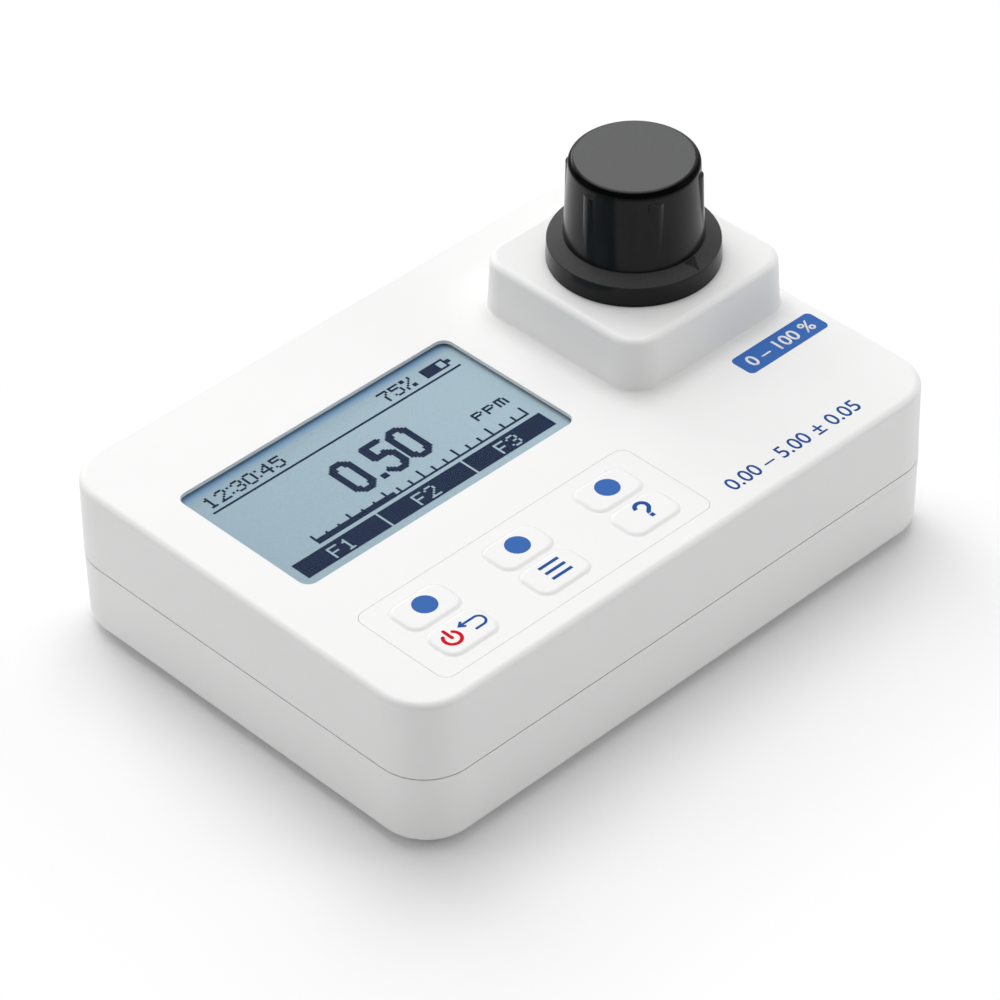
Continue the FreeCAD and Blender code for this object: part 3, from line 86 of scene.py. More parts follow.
backward = Vector((
    math.sin(AZIMUTH) * math.cos(ELEVATION),
    -math.cos(AZIMUTH) * math.cos(ELEVATION),
    math.sin(ELEVATION),
))
level_right = Vector((math.cos(AZIMUTH), math.sin(AZIMUTH), 0))
level_up = backward.cross(level_right)
aim = Vector((0, 0, AIM_HEIGHT)) + level_right * AIM_ACROSS + level_up * AIM_UP
right = level_right * math.cos(ROLL) + level_up * math.sin(ROLL)
up = backward.cross(right)

scene = bpy.context.scene
lens = bpy.data.cameras.new("camera")
lens.lens = FOCAL_LENGTH
camera = bpy.data.objects.new("camera", lens)
camera.matrix_world = Matrix.Translation(aim + backward * CAMERA_DISTANCE) @ Matrix((
    (right.x, up.x, backward.x, 0),
    (right.y, up.y, backward.y, 0),
    (right.z, up.z, backward.z, 0),
    (0, 0, 0, 1),
))
scene.collection.objects.link(camera)
scene.camera = camera
print("camera at", [round(v / MM) for v in camera.matrix_world.translation])

# %% [markdown]
# ## Light and floor
# White plastic on white paper only shows its form if the light falls mostly from above and behind: the top
# is then nearly white and the walls a soft grey. A large panel does that and an even sky fills the shadows.
# Two panels at the sides lift the walls against the rounded corner between them, and a small low panel at
# the back draws the gleam on the slope of the black cap.
# The floor is matt and white. A few centimetres away from the case it glows for rays that look at it, from
# the camera or by way of a gloss, so that the paper has no visible end. Close to the case it stays a lit
# surface that takes the shadow.

# %% Lamps
LAMP_TARGET = Vector((0, 0, 30 * MM))


def add_panel(name, place, width, height, watts):
    """Adds a soft rectangular lamp that faces the object."""
    lamp = bpy.data.lights.new(name, "AREA")
    lamp.shape = "RECTANGLE"
    lamp.size = width
    lamp.size_y = height
    lamp.energy = watts
    holder = bpy.data.objects.new(name, lamp)
    holder.location = place
    holder.rotation_euler = (LAMP_TARGET - Vector(place)).to_track_quat("-Z", "Y").to_euler()
    scene.collection.objects.link(holder)
    print(name, "of", watts, "W at", place)


add_panel("top_panel", place=(0.22, 0.30, 1.15), width=0.95, height=0.95, watts=9.0)
add_panel("left_panel", place=(-0.80, 0.75, 0.50), width=0.5, height=0.5, watts=1.4)
add_panel("right_panel", place=(0.80, -0.75, 0.50), width=0.5, height=0.5, watts=1.75)
add_panel("back_panel", place=(0.17, 0.93, 0.42), width=0.6, height=0.3, watts=2.4)


# %% Node helpers
def add_node(owner, kind, values=None, **settings):
    """Adds a node to a material or a world, sets its properties and the values of its input sockets."""
    made = owner.node_tree.nodes.new(kind)
    for name, value in settings.items():
        setattr(made, name, value)
    for socket, value in (values or {}).items():
        made.inputs[socket].default_value = value
    return made


def join(owner, start, end):
    owner.node_tree.links.new(start, end)


def combine(owner, operation, first, second):
    """Joins two numbers by a sum, a product or the like."""
    made = add_node(owner, "ShaderNodeMath", operation=operation)
    join(owner, first, made.inputs[0])
    join(owner, second, made.inputs[1])
    return made.outputs["Value"]


def choose(owner, factor, first, second):
    """Mixes two shaders by a factor."""
    mix = add_node(owner, "ShaderNodeMixShader")
    join(owner, factor, mix.inputs["Fac"])
    join(owner, first, mix.inputs[1])
    join(owner, second, mix.inputs[2])
    return mix.outputs["Shader"]


def seen_directly(owner):
    """Gives 1 to rays that show a background: from the camera, from a gloss or through a clear pane."""
    path = add_node(owner, "ShaderNodeLightPath")
    total = path.outputs["Is Camera Ray"]
    for ray in ("Is Glossy Ray", "Is Transmission Ray"):
        total = combine(owner, "MAXIMUM", total, path.outputs[ray])
    return total


print("node helpers ready")

# %% Sky
SKY_STRENGTH = 0.375
WHITE = (1, 1, 1, 1)
scene.view_settings.view_transform = "Standard"
world = bpy.data.worlds.new("studio")
scene.world = world
world.use_nodes = True
world.node_tree.nodes.clear()
lit = add_node(world, "ShaderNodeBackground", {"Color": WHITE, "Strength": SKY_STRENGTH})
white = add_node(world, "ShaderNodeBackground", {"Color": WHITE})
sky = choose(world, seen_directly(world), lit.outputs["Background"], white.outputs["Background"])
sky_out = add_node(world, "ShaderNodeOutputWorld")
join(world, sky, sky_out.inputs["Surface"])
print("sky lights at", SKY_STRENGTH, "and shows as white")

# %% Floor
FLOOR_HALF = 1.5
FLOOR_WHITE = (0.95, 0.95, 0.95, 1)
FADE_START = 6 * MM
FADE_END = 65 * MM


def make_paper_finish():
    """Makes matt white paper that fades into an even glow away from the case."""
    material = bpy.data.materials.new("paper_white")
    material.use_nodes = True
    material.node_tree.nodes.clear()
    where = add_node(material, "ShaderNodeTexCoord")
    folded = add_node(material, "ShaderNodeVectorMath", operation="ABSOLUTE")
    beyond = add_node(material, "ShaderNodeVectorMath", {1: (cad_high.x, cad_high.y, 0)},
                      operation="SUBTRACT")
    outside = add_node(material, "ShaderNodeVectorMath", operation="MAXIMUM")
    length = add_node(material, "ShaderNodeVectorMath", operation="LENGTH")
    fade = add_node(material, "ShaderNodeMapRange", {"From Min": FADE_START, "From Max": FADE_END},
                    interpolation_type="SMOOTHSTEP")
    join(material, where.outputs["Object"], folded.inputs[0])
    join(material, folded.outputs["Vector"], beyond.inputs[0])
    join(material, beyond.outputs["Vector"], outside.inputs[0])
    join(material, outside.outputs["Vector"], length.inputs[0])
    join(material, length.outputs["Value"], fade.inputs["Value"])
    share = combine(material, "MULTIPLY", fade.outputs["Result"], seen_directly(material))
    matt = add_node(material, "ShaderNodeBsdfDiffuse", {"Color": FLOOR_WHITE})
    glow = add_node(material, "ShaderNodeEmission")
    paper = choose(material, share, matt.outputs["BSDF"], glow.outputs["Emission"])
    output = add_node(material, "ShaderNodeOutputMaterial")
    join(material, paper, output.inputs["Surface"])
    return material


sheet = bmesh.new()
bmesh.ops.create_grid(sheet, x_segments=1, y_segments=1, size=FLOOR_HALF)
floor_mesh = bpy.data.meshes.new("floor")
sheet.to_mesh(floor_mesh)
sheet.free()
floor_mesh.materials.append(make_paper_finish())
floor = bpy.data.objects.new("floor", floor_mesh)
scene.collection.objects.link(floor)
floor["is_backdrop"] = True
print("floor fades to white from", round(FADE_START / MM), "to", round(FADE_END / MM), "mm off the case")

# %% [markdown]
# ## Finishes
# Most pieces are moulded plastic, and moulded plastic is never perfectly even: the mould is spark-eroded to
# a fine grain that also breaks up the gloss, and the colour drifts a little over a few centimetres. One
# helper gives a shader its grain, its gloss and its drift of colour, each from a noise that is read in
# object coordinates, so that nothing depends on UV maps. What is even all over is set on the shader's own
# sockets.

# %% Noise and colour helpers
NOISE_LOW, NOISE_HIGH = 0.25, 0.75


def object_noise(material, size, detail=2.0):
    """Adds a noise whose blots are about as large as the given size."""
    coordinates = add_node(material, "ShaderNodeTexCoord")
    noise = add_node(material, "ShaderNodeTexNoise", {"Scale": 1 / size, "Detail": detail})
    join(material, coordinates.outputs["Object"], noise.inputs["Vector"])
    return noise.outputs["Fac"]


def spread(material, source, low, high):
    """Maps the middle half of a noise to the range from low to high."""
    mapped = add_node(material, "ShaderNodeMapRange",
                      {"From Min": NOISE_LOW, "From Max": NOISE_HIGH, "To Min": low, "To Max": high})
    join(material, source, mapped.inputs["Value"])
    return mapped.outputs["Result"]


def two_tone(material, source, first, second):
    """Mixes two colours by a factor."""
    mix = add_node(material, "ShaderNodeMix", data_type="RGBA")
    mix.inputs["A"].default_value = (*first, 1)
    mix.inputs["B"].default_value = (*second, 1)
    join(material, source, mix.inputs["Factor"])
    return mix.outputs["Result"]


def shade(colour, factor):
    """Makes a colour lighter or darker."""
    return tuple(channel * factor for channel in colour)


print("noise and colour helpers ready")

# %% Plain finishes
DRIFT_SIZE, DRIFT_DETAIL = 25 * MM, 3.0
GLOSS_RANGE = 0.05
finishes = {}


def make_finish(name, colour, roughness, grain, depth, drift=0.03, **sockets):
    """Makes a finish with a grain of some size and depth, a gloss that follows it and a drift of colour."""
    material = bpy.data.materials.new(name)
    material.use_nodes = True
    shader = material.node_tree.nodes["Principled BSDF"]
    for socket, value in sockets.items():
        shader.inputs[socket.replace("_", " ")].default_value = value
    patches = object_noise(material, DRIFT_SIZE, DRIFT_DETAIL)
    tone = two_tone(material, spread(material, patches, 0, 1), shade(colour, 1 - drift), colour)
    join(material, tone, shader.inputs["Base Color"])
    fine = object_noise(material, grain)
    gloss = spread(material, fine, roughness - GLOSS_RANGE, roughness + GLOSS_RANGE)
    join(material, gloss, shader.inputs["Roughness"])
    bump = add_node(material, "ShaderNodeBump", {"Distance": depth})
    join(material, fine, bump.inputs["Height"])
    join(material, bump.outputs["Normal"], shader.inputs["Normal"])
    return material


def add_finish(slot, colour, **look):
    """Makes the finish of one material slot of the record."""
    finishes[slot] = make_finish(slot, colour, **look)


print("finish helpers ready")

# %% [markdown]
# ## White parts
# The case, the keypad plate and the keys are the same white, but not the same surface. The case has the
# coarsest grain, the plate is smoother, and the keys have a soft skin that scatters the light.

# %% White finishes
CASE_WHITE = (0.86, 0.86, 0.855)
add_finish("case_white", CASE_WHITE, roughness=0.46, grain=0.30 * MM, depth=0.006 * MM, drift=0.015)
add_finish("keypad_white", CASE_WHITE, roughness=0.40, grain=0.22 * MM, depth=0.003 * MM, drift=0.012)
add_finish("key_white", CASE_WHITE, roughness=0.50, grain=0.18 * MM, depth=0.003 * MM, drift=0.012,
           Sheen_Weight=0.08)
print(sorted(finishes))

# %% [markdown]
# ## Black parts
# The cap is one black moulding with several surfaces: its top and the slope of its flange are finely eroded
# and look grey in the light, the grey of the top being partly a painted sheen of the lamps above; its walls
# are smooth and show soft gleams; and its rounded rim is deep black, from a darker tone and almost no shine
# that paint a dark reflection on it.
# All are one material. Each could have its own, but every surface has a height of its own, so steps on the
# height choose between them and the cap's mesh stays as it is.

# %% Cap surfaces
cap_low, cap_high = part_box("cap")
SLOPE_LOW, SLOPE_HIGH, SLOPE_RAMP = cap_low.z + 4.35 * MM, cap_low.z + 5.65 * MM, 0.06 * MM
RIM, RIM_RAMP = cap_high.z - 1.45 * MM, 0.5 * MM
GLEAM, GLEAM_RAMP = cap_high.z - 0.13 * MM, 0.12 * MM
CROWN, CROWN_RAMP = cap_high.z - 0.015 * MM, 0.013 * MM


def above(material, height, level, ramp):
    """Gives 1 above a level and 0 below it, with a short ramp between them."""
    step = add_node(material, "ShaderNodeMapRange", {"From Min": level - ramp, "From Max": level + ramp})
    join(material, height, step.inputs["Value"])
    return step.outputs["Result"]


def mix_in(material, factor, below, colour):
    """Lays a colour over a colour that comes from other nodes."""
    mix = add_node(material, "ShaderNodeMix", data_type="RGBA")
    mix.inputs["B"].default_value = (*colour, 1)
    join(material, factor, mix.inputs["Factor"])
    join(material, below, mix.inputs["A"])
    return mix.outputs["Result"]


def between(material, factor, first, second):
    """Mixes two numbers by a factor."""
    mix = add_node(material, "ShaderNodeMix", data_type="FLOAT")
    mix.inputs["A"].default_value = first
    mix.inputs["B"].default_value = second
    join(material, factor, mix.inputs["Factor"])
    return mix.outputs["Result"]


def object_axes(material):
    """Gives a node whose outputs are the place on the object along X, Y and Z."""
    coordinates = add_node(material, "ShaderNodeTexCoord")
    axes = add_node(material, "ShaderNodeSeparateXYZ")
    join(material, coordinates.outputs["Object"], axes.inputs["Vector"])
    return axes.outputs


print("cap slope from", round(SLOPE_LOW / MM, 2), "to", round(SLOPE_HIGH / MM, 2), "mm")

# %% Cap finish
SMOOTH_ROUGHNESS, ERODED_ROUGHNESS = 0.20, 0.55
WALL_SHINE, RIM_SHINE = 0.22, 0.015
WALL_BLACK, WALL_DRIFT = (0.002, 0.002, 0.0021), 0.2
WALL_PATCH, WALL_DETAIL = 6 * MM, 3.0
# Painted shade: the rim gets a darker black and, with RIM_SHINE, almost no shine, which paints a dark
# reflection on it.
RIM_PAINTED_BLACK = (0.001, 0.001, 0.001)
SLOPE_GREY, SLOPE_SPECKLE = (0.034, 0.034, 0.0345), (0.25, 1.75)
# The crown's grey is partly the eroded grain's own grey and partly a painted sheen of the lamps above.
CROWN_GREY_AND_SHEEN, CROWN_SPECKLE = (0.095, 0.097, 0.096), (0.85, 1.0)
CAP_GRAIN, CAP_GRAIN_DEPTH = 0.22 * MM, 0.05 * MM


def make_cap_finish():
    """Makes a black whose tone, roughness and shine change with the height on the cap."""
    material = bpy.data.materials.new("cap_black")
    material.use_nodes = True
    shader = material.node_tree.nodes["Principled BSDF"]
    height = object_axes(material)["Z"]
    slope = combine(material, "SUBTRACT", above(material, height, SLOPE_LOW, SLOPE_RAMP),
                    above(material, height, SLOPE_HIGH, SLOPE_RAMP))
    # Painted dark reflection: the rim gets a darker tone and almost no shine, except a thin band just under
    # the crown.
    painted_dark_rim = above(material, height, RIM, RIM_RAMP)
    painted_dark_reflection_band = combine(material, "SUBTRACT", painted_dark_rim, above(material, height, GLEAM, GLEAM_RAMP))
    crown = above(material, height, CROWN, CROWN_RAMP)
    eroded = combine(material, "MAXIMUM", slope, crown)
    gloss = between(material, eroded, SMOOTH_ROUGHNESS, ERODED_ROUGHNESS)
    join(material, gloss, shader.inputs["Roughness"])
    shine = between(material, painted_dark_reflection_band, WALL_SHINE, RIM_SHINE)
    join(material, shine, shader.inputs["Specular IOR Level"])
    patches = object_noise(material, WALL_PATCH, WALL_DETAIL)
    tone = two_tone(material, patches, shade(WALL_BLACK, 1 - WALL_DRIFT), shade(WALL_BLACK, 1 + WALL_DRIFT))
    tone = mix_in(material, painted_dark_rim, tone, RIM_PAINTED_BLACK)
    grain = object_noise(material, CAP_GRAIN)
    speckle = spread(material, grain, *SLOPE_SPECKLE)
    tone = mix_in(material, combine(material, "MULTIPLY", slope, speckle), tone, SLOPE_GREY)
    fleck = spread(material, grain, *CROWN_SPECKLE)
    # Partly painted sheen: the top of the cap is lightened to the crown's grey.
    tone = mix_in(material, combine(material, "MULTIPLY", crown, fleck), tone, CROWN_GREY_AND_SHEEN)
    join(material, tone, shader.inputs["Base Color"])
    bump = add_node(material, "ShaderNodeBump", {"Distance": CAP_GRAIN_DEPTH})
    join(material, combine(material, "MULTIPLY", grain, eroded), bump.inputs["Height"])
    join(material, bump.outputs["Normal"], shader.inputs["Normal"])
    return material


finishes["cap_black"] = make_cap_finish()
print("cap finish has", len(finishes["cap_black"].node_tree.nodes), "nodes")

# %% Other black finishes
HOLDER_BLACK, SEAL_BLACK, FOOT_GREY = (0.012, 0.012, 0.013), (0.02, 0.02, 0.02), (0.05, 0.05, 0.053)
add_finish("holder_black", HOLDER_BLACK, roughness=0.6, grain=0.2 * MM, depth=0.008 * MM, drift=0.2)
add_finish("seal_black", SEAL_BLACK, roughness=0.7, grain=0.4 * MM, depth=0.01 * MM, drift=0.2)
add_finish("foot_grey", FOOT_GREY, roughness=0.75, grain=0.5 * MM, depth=0.02 * MM, drift=0.2)
print(len(finishes), "finishes so far")

# %% [markdown]
# ## Display
# The display is a stack: a clear pane let into the case, a thin gap, the grey-blue display glass and a
# light guide. The pane is glass for the camera, with a coating that lets it mirror very little. For all
# other rays it is open, because light that has to find its way through glass arrives late and noisy.
# The display glass has a fine speckle on it and a painted gradient of light along X, darker at the left end
# and lighter at the right end. Past the dots, a bluish band along its back edge is painted shadow of the
# rim.

# %% Clear finishes
COATED_INDEX, GLASS_INDEX = 1.12, 1.5
PANE_SHINE = 0.03
HAZE_SIZE, HAZE_DRIFT = 4 * MM, 0.4


def make_pane_finish(slot, tint, roughness, index):
    """Makes glass for the camera that lets all other rays through."""
    material = bpy.data.materials.new(slot)
    material.use_nodes = True
    shader = material.node_tree.nodes["Principled BSDF"]
    shader.inputs["Base Color"].default_value = (*tint, 1)
    shader.inputs["Transmission Weight"].default_value = 1
    shader.inputs["IOR"].default_value = index
    shader.inputs["Specular IOR Level"].default_value = PANE_SHINE
    haze = spread(material, object_noise(material, HAZE_SIZE), (1 - HAZE_DRIFT) * roughness,
                  (1 + HAZE_DRIFT) * roughness)
    join(material, haze, shader.inputs["Roughness"])
    clear = add_node(material, "ShaderNodeBsdfTransparent")
    path = add_node(material, "ShaderNodeLightPath")
    pane = choose(material, path.outputs["Is Camera Ray"], clear.outputs["BSDF"], shader.outputs["BSDF"])
    output = material.node_tree.nodes["Material Output"]
    join(material, pane, output.inputs["Surface"])
    finishes[slot] = material


make_pane_finish("window_clear", tint=(0.97, 0.99, 1.0), roughness=0.02, index=COATED_INDEX)
make_pane_finish("optic_glass", tint=(0.95, 0.98, 0.98), roughness=0.01, index=GLASS_INDEX)
make_pane_finish("filter_tint", tint=(0.25, 0.35, 0.85), roughness=0.01, index=GLASS_INDEX)
make_pane_finish("led_clear", tint=(0.96, 0.96, 0.96), roughness=0.05, index=GLASS_INDEX)
print(len(finishes), "finishes so far")

# %% Display glass
LCD_PAINTED_SHADE, LCD_PAINTED_LIGHT = (0.325, 0.437, 0.503), (0.383, 0.503, 0.571)
LCD_SHADOW_BLUE = (0.215, 0.375, 0.570)
SHADOW_BAND_START, SHADOW_BAND_END = 26.3 * MM, 28.0 * MM
LCD_SPECK, LCD_SPECK_DEPTH, LCD_SPECK_RANGE = 0.35 * MM, 0.002 * MM, (-0.5, 0.5)


def make_lcd_finish():
    """Makes a speckled grey-blue with a painted gradient of light, lighter to the right, and a painted blue
    shadow at the back.
    """
    material = make_finish("lcd_grey", LCD_PAINTED_LIGHT, roughness=0.35, grain=LCD_SPECK, depth=LCD_SPECK_DEPTH,
                           Specular_IOR_Level=PANE_SHINE)
    low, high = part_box("lcd_panel")
    axes = object_axes(material)
    # Painted light: a ramp along X from the darker grey at the left end to the lighter grey at the right
    # end.
    ramp = add_node(material, "ShaderNodeMapRange", {"From Min": low.x, "From Max": high.x})
    join(material, axes["X"], ramp.inputs["Value"])
    speckle = spread(material, object_noise(material, LCD_SPECK), *LCD_SPECK_RANGE)
    painted_light_and_speckle = combine(material, "ADD", ramp.outputs["Result"], speckle)
    tone = two_tone(material, painted_light_and_speckle, LCD_PAINTED_SHADE, LCD_PAINTED_LIGHT)
    # Painted shadow: past the dots the glass turns blue along its back edge, where the rim's shadow falls.
    margin = add_node(material, "ShaderNodeMapRange", {"From Min": SHADOW_BAND_START, "From Max": SHADOW_BAND_END})
    join(material, axes["Y"], margin.inputs["Value"])
    tone = mix_in(material, margin.outputs["Result"], tone, LCD_SHADOW_BLUE)
    join(material, tone, material.node_tree.nodes["Principled BSDF"].inputs["Base Color"])
    return material


finishes["lcd_grey"] = make_lcd_finish()
GUIDE_WHITE, FRAME_GREY = (0.8, 0.84, 0.86), (0.12, 0.12, 0.125)
add_finish("guide_white", GUIDE_WHITE, roughness=0.3, grain=0.5 * MM, depth=0.004 * MM)
add_finish("frame_grey", FRAME_GREY, roughness=0.5, grain=0.3 * MM, depth=0.008 * MM, drift=0.1)
print("display finishes ready")

# %% [markdown]
# ## Inner parts and metal
# Most of these show only when the case is opened, but a part that is reused may be. Boards carry rows of
# fine lines, which could be an image but are a brick pattern here, and the metals have a fine grain.

# %% Boards
BOARD_GREEN, TRACK_GREEN = (0.02, 0.13, 0.05), (0.05, 0.24, 0.09)
TRACKS = {"Scale": 1 / MM, "Brick Width": 7.0, "Row Height": 1.3, "Mortar Size": 0.16}


def make_board_finish():
    """Makes a green with rows of lighter tracks."""
    material = make_finish("board_green", BOARD_GREEN, roughness=0.4, grain=0.5 * MM, depth=0.004 * MM,
                           drift=0.2)
    coordinates = add_node(material, "ShaderNodeTexCoord")
    tracks = add_node(material, "ShaderNodeTexBrick", TRACKS)
    join(material, coordinates.outputs["Object"], tracks.inputs["Vector"])
    lines = two_tone(material, tracks.outputs["Fac"], BOARD_GREEN, TRACK_GREEN)
    join(material, lines, material.node_tree.nodes["Principled BSDF"].inputs["Base Color"])
    return material


finishes["board_green"] = make_board_finish()
print("board finish has", len(finishes["board_green"].node_tree.nodes), "nodes")

# %% Metals and small parts
STEEL, NICKEL, CAN_METAL = (0.55, 0.55, 0.53), (0.62, 0.60, 0.56), (0.66, 0.63, 0.56)
CHIP_BLACK, NYLON_WHITE = (0.02, 0.02, 0.022), (0.78, 0.76, 0.68)
AMBER, LEAD_GREY, WRAP_GREY = (0.45, 0.19, 0.03), (0.12, 0.12, 0.125), (0.05, 0.06, 0.09)
add_finish("screw_steel", STEEL, roughness=0.32, grain=0.2 * MM, depth=0.004 * MM, Metallic=1.0)
add_finish("contact_nickel", NICKEL, roughness=0.25, grain=0.3 * MM, depth=0.003 * MM, Metallic=1.0)
add_finish("can_metal", CAN_METAL, roughness=0.3, grain=0.3 * MM, depth=0.003 * MM, Metallic=1.0)
add_finish("chip_black", CHIP_BLACK, roughness=0.55, grain=0.2 * MM, depth=0.006 * MM, drift=0.2)
add_finish("connector_white", NYLON_WHITE, roughness=0.45, grain=0.3 * MM, depth=0.004 * MM)
add_finish("ribbon_amber", AMBER, roughness=0.3, grain=1.0 * MM, depth=0.004 * MM, drift=0.2)
add_finish("lead_grey", LEAD_GREY, roughness=0.5, grain=0.6 * MM, depth=0.008 * MM, drift=0.15)
add_finish("cell_wrap", WRAP_GREY, roughness=0.28, grain=0.8 * MM, depth=0.003 * MM, drift=0.2)
print(len(finishes), "finishes in all")

# %% Finish the nodes
for part in frame["record"]["subparts"]:
    skin = nodes[part["node"]].data
    skin.materials.clear()
    skin.materials.append(finishes[part["material_slot"]])
print(len(nodes), "nodes finished with", len(finishes), "materials")

# %% [markdown]
# ## Prints
# The prints are thin layers of ink, a few hundredths of a millimetre thick. A print could be a mask in the
# material below it, but as a mesh of its own it stays sharp at any distance and rides on its key when the
# key is pressed. Each sign is drawn flat in millimetres with arcs, bars and discs, and is then given its
# thickness and its place.

# %% Stroke helpers
ARC_STEP = math.radians(7.5)
DISC_SIDES = 48
# A grid takes half the length of its side, so this one is a square of side 1 that a matrix can stretch.
HALF_SIDE = 0.5


def pointing(angle):
    """Gives the flat direction at an angle in degrees."""
    turn = math.radians(angle)
    return Vector((math.cos(turn), math.sin(turn), 0))


def spin_line(mesh, centre, points, sweep):
    """Spins a row of points about a centre into a flat band; the sweep is in degrees."""
    line = [mesh.verts.new(point) for point in points]
    edges = [mesh.edges.new(pair) for pair in zip(line, line[1:])]
    angle = math.radians(sweep)
    steps = max(2, round(abs(angle) / ARC_STEP))
    bmesh.ops.spin(mesh, geom=line + edges, cent=centre, axis=(0, 0, 1), angle=angle, steps=steps)


def arc(mesh, centre, radius, width, start, sweep):
    """Draws a round stroke and gives the middle of its far end."""
    reaches = [radius + side * width / 2 for side in (-1, 0, 1)]
    spin_line(mesh, centre, [centre + pointing(start) * reach for reach in reaches], sweep)
    return centre + pointing(start + sweep) * radius


def bar(mesh, start, end, width):
    """Draws a straight stroke between two points."""
    run = end - start
    place = Matrix.Translation((start + end) / 2) @ run.to_track_quat("X", "Z").to_matrix().to_4x4()
    scale = Matrix.Diagonal((run.length, width, 1, 1))
    bmesh.ops.create_grid(mesh, x_segments=1, y_segments=2, size=HALF_SIDE, matrix=place @ scale)


def round_end(mesh, end, width, angle):
    """Closes a stroke with a half disc that bulges towards an angle."""
    spin_line(mesh, end, [end, end + pointing(angle - 90) * width / 2], 180)


def disc(mesh, centre, radius):
    """Draws a filled disc."""
    bmesh.ops.create_circle(mesh, cap_ends=True, segments=DISC_SIDES, radius=radius,
                            matrix=Matrix.Translation(centre))


print("stroke helpers ready, a full turn has", round(2 * math.pi / ARC_STEP), "steps")

# %% Piece helpers
INK_THICKNESS = 0.03
WELD = 0.001


def thicken(mesh, height):
    """Joins strokes that meet and gives the flat drawing a closed body that stands on it."""
    bmesh.ops.remove_doubles(mesh, verts=mesh.verts[:], dist=WELD)
    for face in mesh.faces:
        face.normal_update()
        if face.normal.z < 0:
            face.normal_flip()
    top = bmesh.ops.extrude_face_region(mesh, geom=mesh.faces[:], use_keep_orig=True)
    raised = [item for item in top["geom"] if isinstance(item, bmesh.types.BMVert)]
    bmesh.ops.translate(mesh, verts=raised, vec=(0, 0, height))
    bmesh.ops.recalc_face_normals(mesh, faces=mesh.faces[:])


def make_piece(name, mesh, finish, body, lift, thickness=INK_THICKNESS):
    """Turns a flat drawing into a finished object at the origin that rides on a body."""
    thicken(mesh, thickness)
    place = Matrix.Translation((0, 0, lift)) @ Matrix.Scale(MM, 4)
    bmesh.ops.transform(mesh, matrix=place, verts=mesh.verts[:])
    data = bpy.data.meshes.new(name)
    mesh.to_mesh(data)
    mesh.free()
    data.materials.append(finish)
    piece = bpy.data.objects.new(name, data)
    scene.collection.objects.link(piece)
    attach(piece, body)
    corner = [min(vertex.co[axis] for vertex in data.vertices) / MM for axis in range(3)]
    print(name, "on", body, "with", len(data.polygons), "faces from", [round(low, 2) for low in corner])


print("ink is", INK_THICKNESS, "mm thick")

# %% Inks
INK_GRAIN, INK_GRAIN_DEPTH, INK_SHINE = 0.25 * MM, 0.002 * MM, 0.04


def make_ink(name, colour):
    return make_finish(name, colour, roughness=0.5, grain=INK_GRAIN, depth=INK_GRAIN_DEPTH, drift=0.06,
                       Specular_IOR_Level=INK_SHINE)


blue_ink = make_ink("blue_ink", (0.047, 0.148, 0.455))
deep_blue_ink = make_ink("deep_blue_ink", (0.018, 0.088, 0.345))
red_ink = make_ink("red_ink", (0.68, 0.003, 0.019))
white_ink = make_ink("white_ink", (0.84, 0.84, 0.84))
print("inks mixed")

# %% [markdown]
# ## Key signs
# The back row has three blue dots, one under each field of the display. The front row has a red power sign
# with a blue return arrow, the three lines of a menu and a question mark.

# %% Dots
DOT_KEYS = ("key_left", "key_middle", "key_right")
DOT_RADIUS = 2.55
DOT_SHIFT = Vector((0.30, 0.45, 0))


def key_middle(node):
    """Gives the middle of a key in millimetres, flat."""
    low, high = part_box(node)
    return Vector((low.x + high.x, low.y + high.y, 0)) / 2 / MM


key_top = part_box("key_left")[1].z
for key in DOT_KEYS:
    drawing = bmesh.new()
    disc(drawing, key_middle(key) + DOT_SHIFT, DOT_RADIUS)
    make_piece(f"{key}_dot", drawing, blue_ink, key, lift=key_top)

# %% Power sign
POWER_SHIFT = Vector((-2.68, -0.12, 0))
POWER_RADIUS, POWER_STROKE, POWER_GAP = 1.77, 0.75, 44
STEM_LOW, STEM_HIGH = Vector((0, 0.06, 0)), Vector((0, 2.45, 0))

middle = key_middle("key_power") + POWER_SHIFT
drawing = bmesh.new()
ring_end = arc(drawing, middle, POWER_RADIUS, POWER_STROKE, 90 + POWER_GAP, 360 - 2 * POWER_GAP)
round_end(drawing, ring_end, POWER_STROKE, 180 - POWER_GAP)
ring_start = middle + pointing(90 + POWER_GAP) * POWER_RADIUS
round_end(drawing, ring_start, POWER_STROKE, POWER_GAP)
bar(drawing, middle + STEM_LOW, middle + STEM_HIGH, POWER_STROKE)
round_end(drawing, middle + STEM_LOW, POWER_STROKE, -90)
round_end(drawing, middle + STEM_HIGH, POWER_STROKE, 90)
make_piece("power_sign", drawing, red_ink, "key_power", lift=key_top)

# %% Return arrow
ARROW_STROKE, HOOK_RADIUS, HOOK_TAIL = 0.54, 1.34, 1.85
ARROW_TIP, HOOK_TOP = Vector((-0.04, 1.32, 0)), Vector((4.18, 1.32, 0))
BARB_X, BARB_Y, BARB_EDGE = 1.30, 1.00, 0.44

tip, bend = key_middle("key_power") + ARROW_TIP, key_middle("key_power") + HOOK_TOP
slope = BARB_Y / BARB_X
neck = 2 * BARB_EDGE + ARROW_STROKE / 2 / slope
barb_foot = (BARB_X + BARB_EDGE, BARB_Y - BARB_EDGE * slope)
upper = [(0, 0), (BARB_X, BARB_Y), barb_foot, (neck, ARROW_STROKE / 2)]
lower = [(x, -y) for x, y in reversed(upper[1:])]
drawing = bmesh.new()
head = [drawing.verts.new(tip + Vector((x, y, 0))) for x, y in [*upper, (neck, 0), *lower]]
drawing.faces.new(head)
bar(drawing, tip + Vector((neck, 0, 0)), bend, ARROW_STROKE)
hook_foot = arc(drawing, bend - Vector((0, HOOK_RADIUS, 0)), HOOK_RADIUS, ARROW_STROKE, 90, -180)
tail = hook_foot - Vector((HOOK_TAIL, 0, 0))
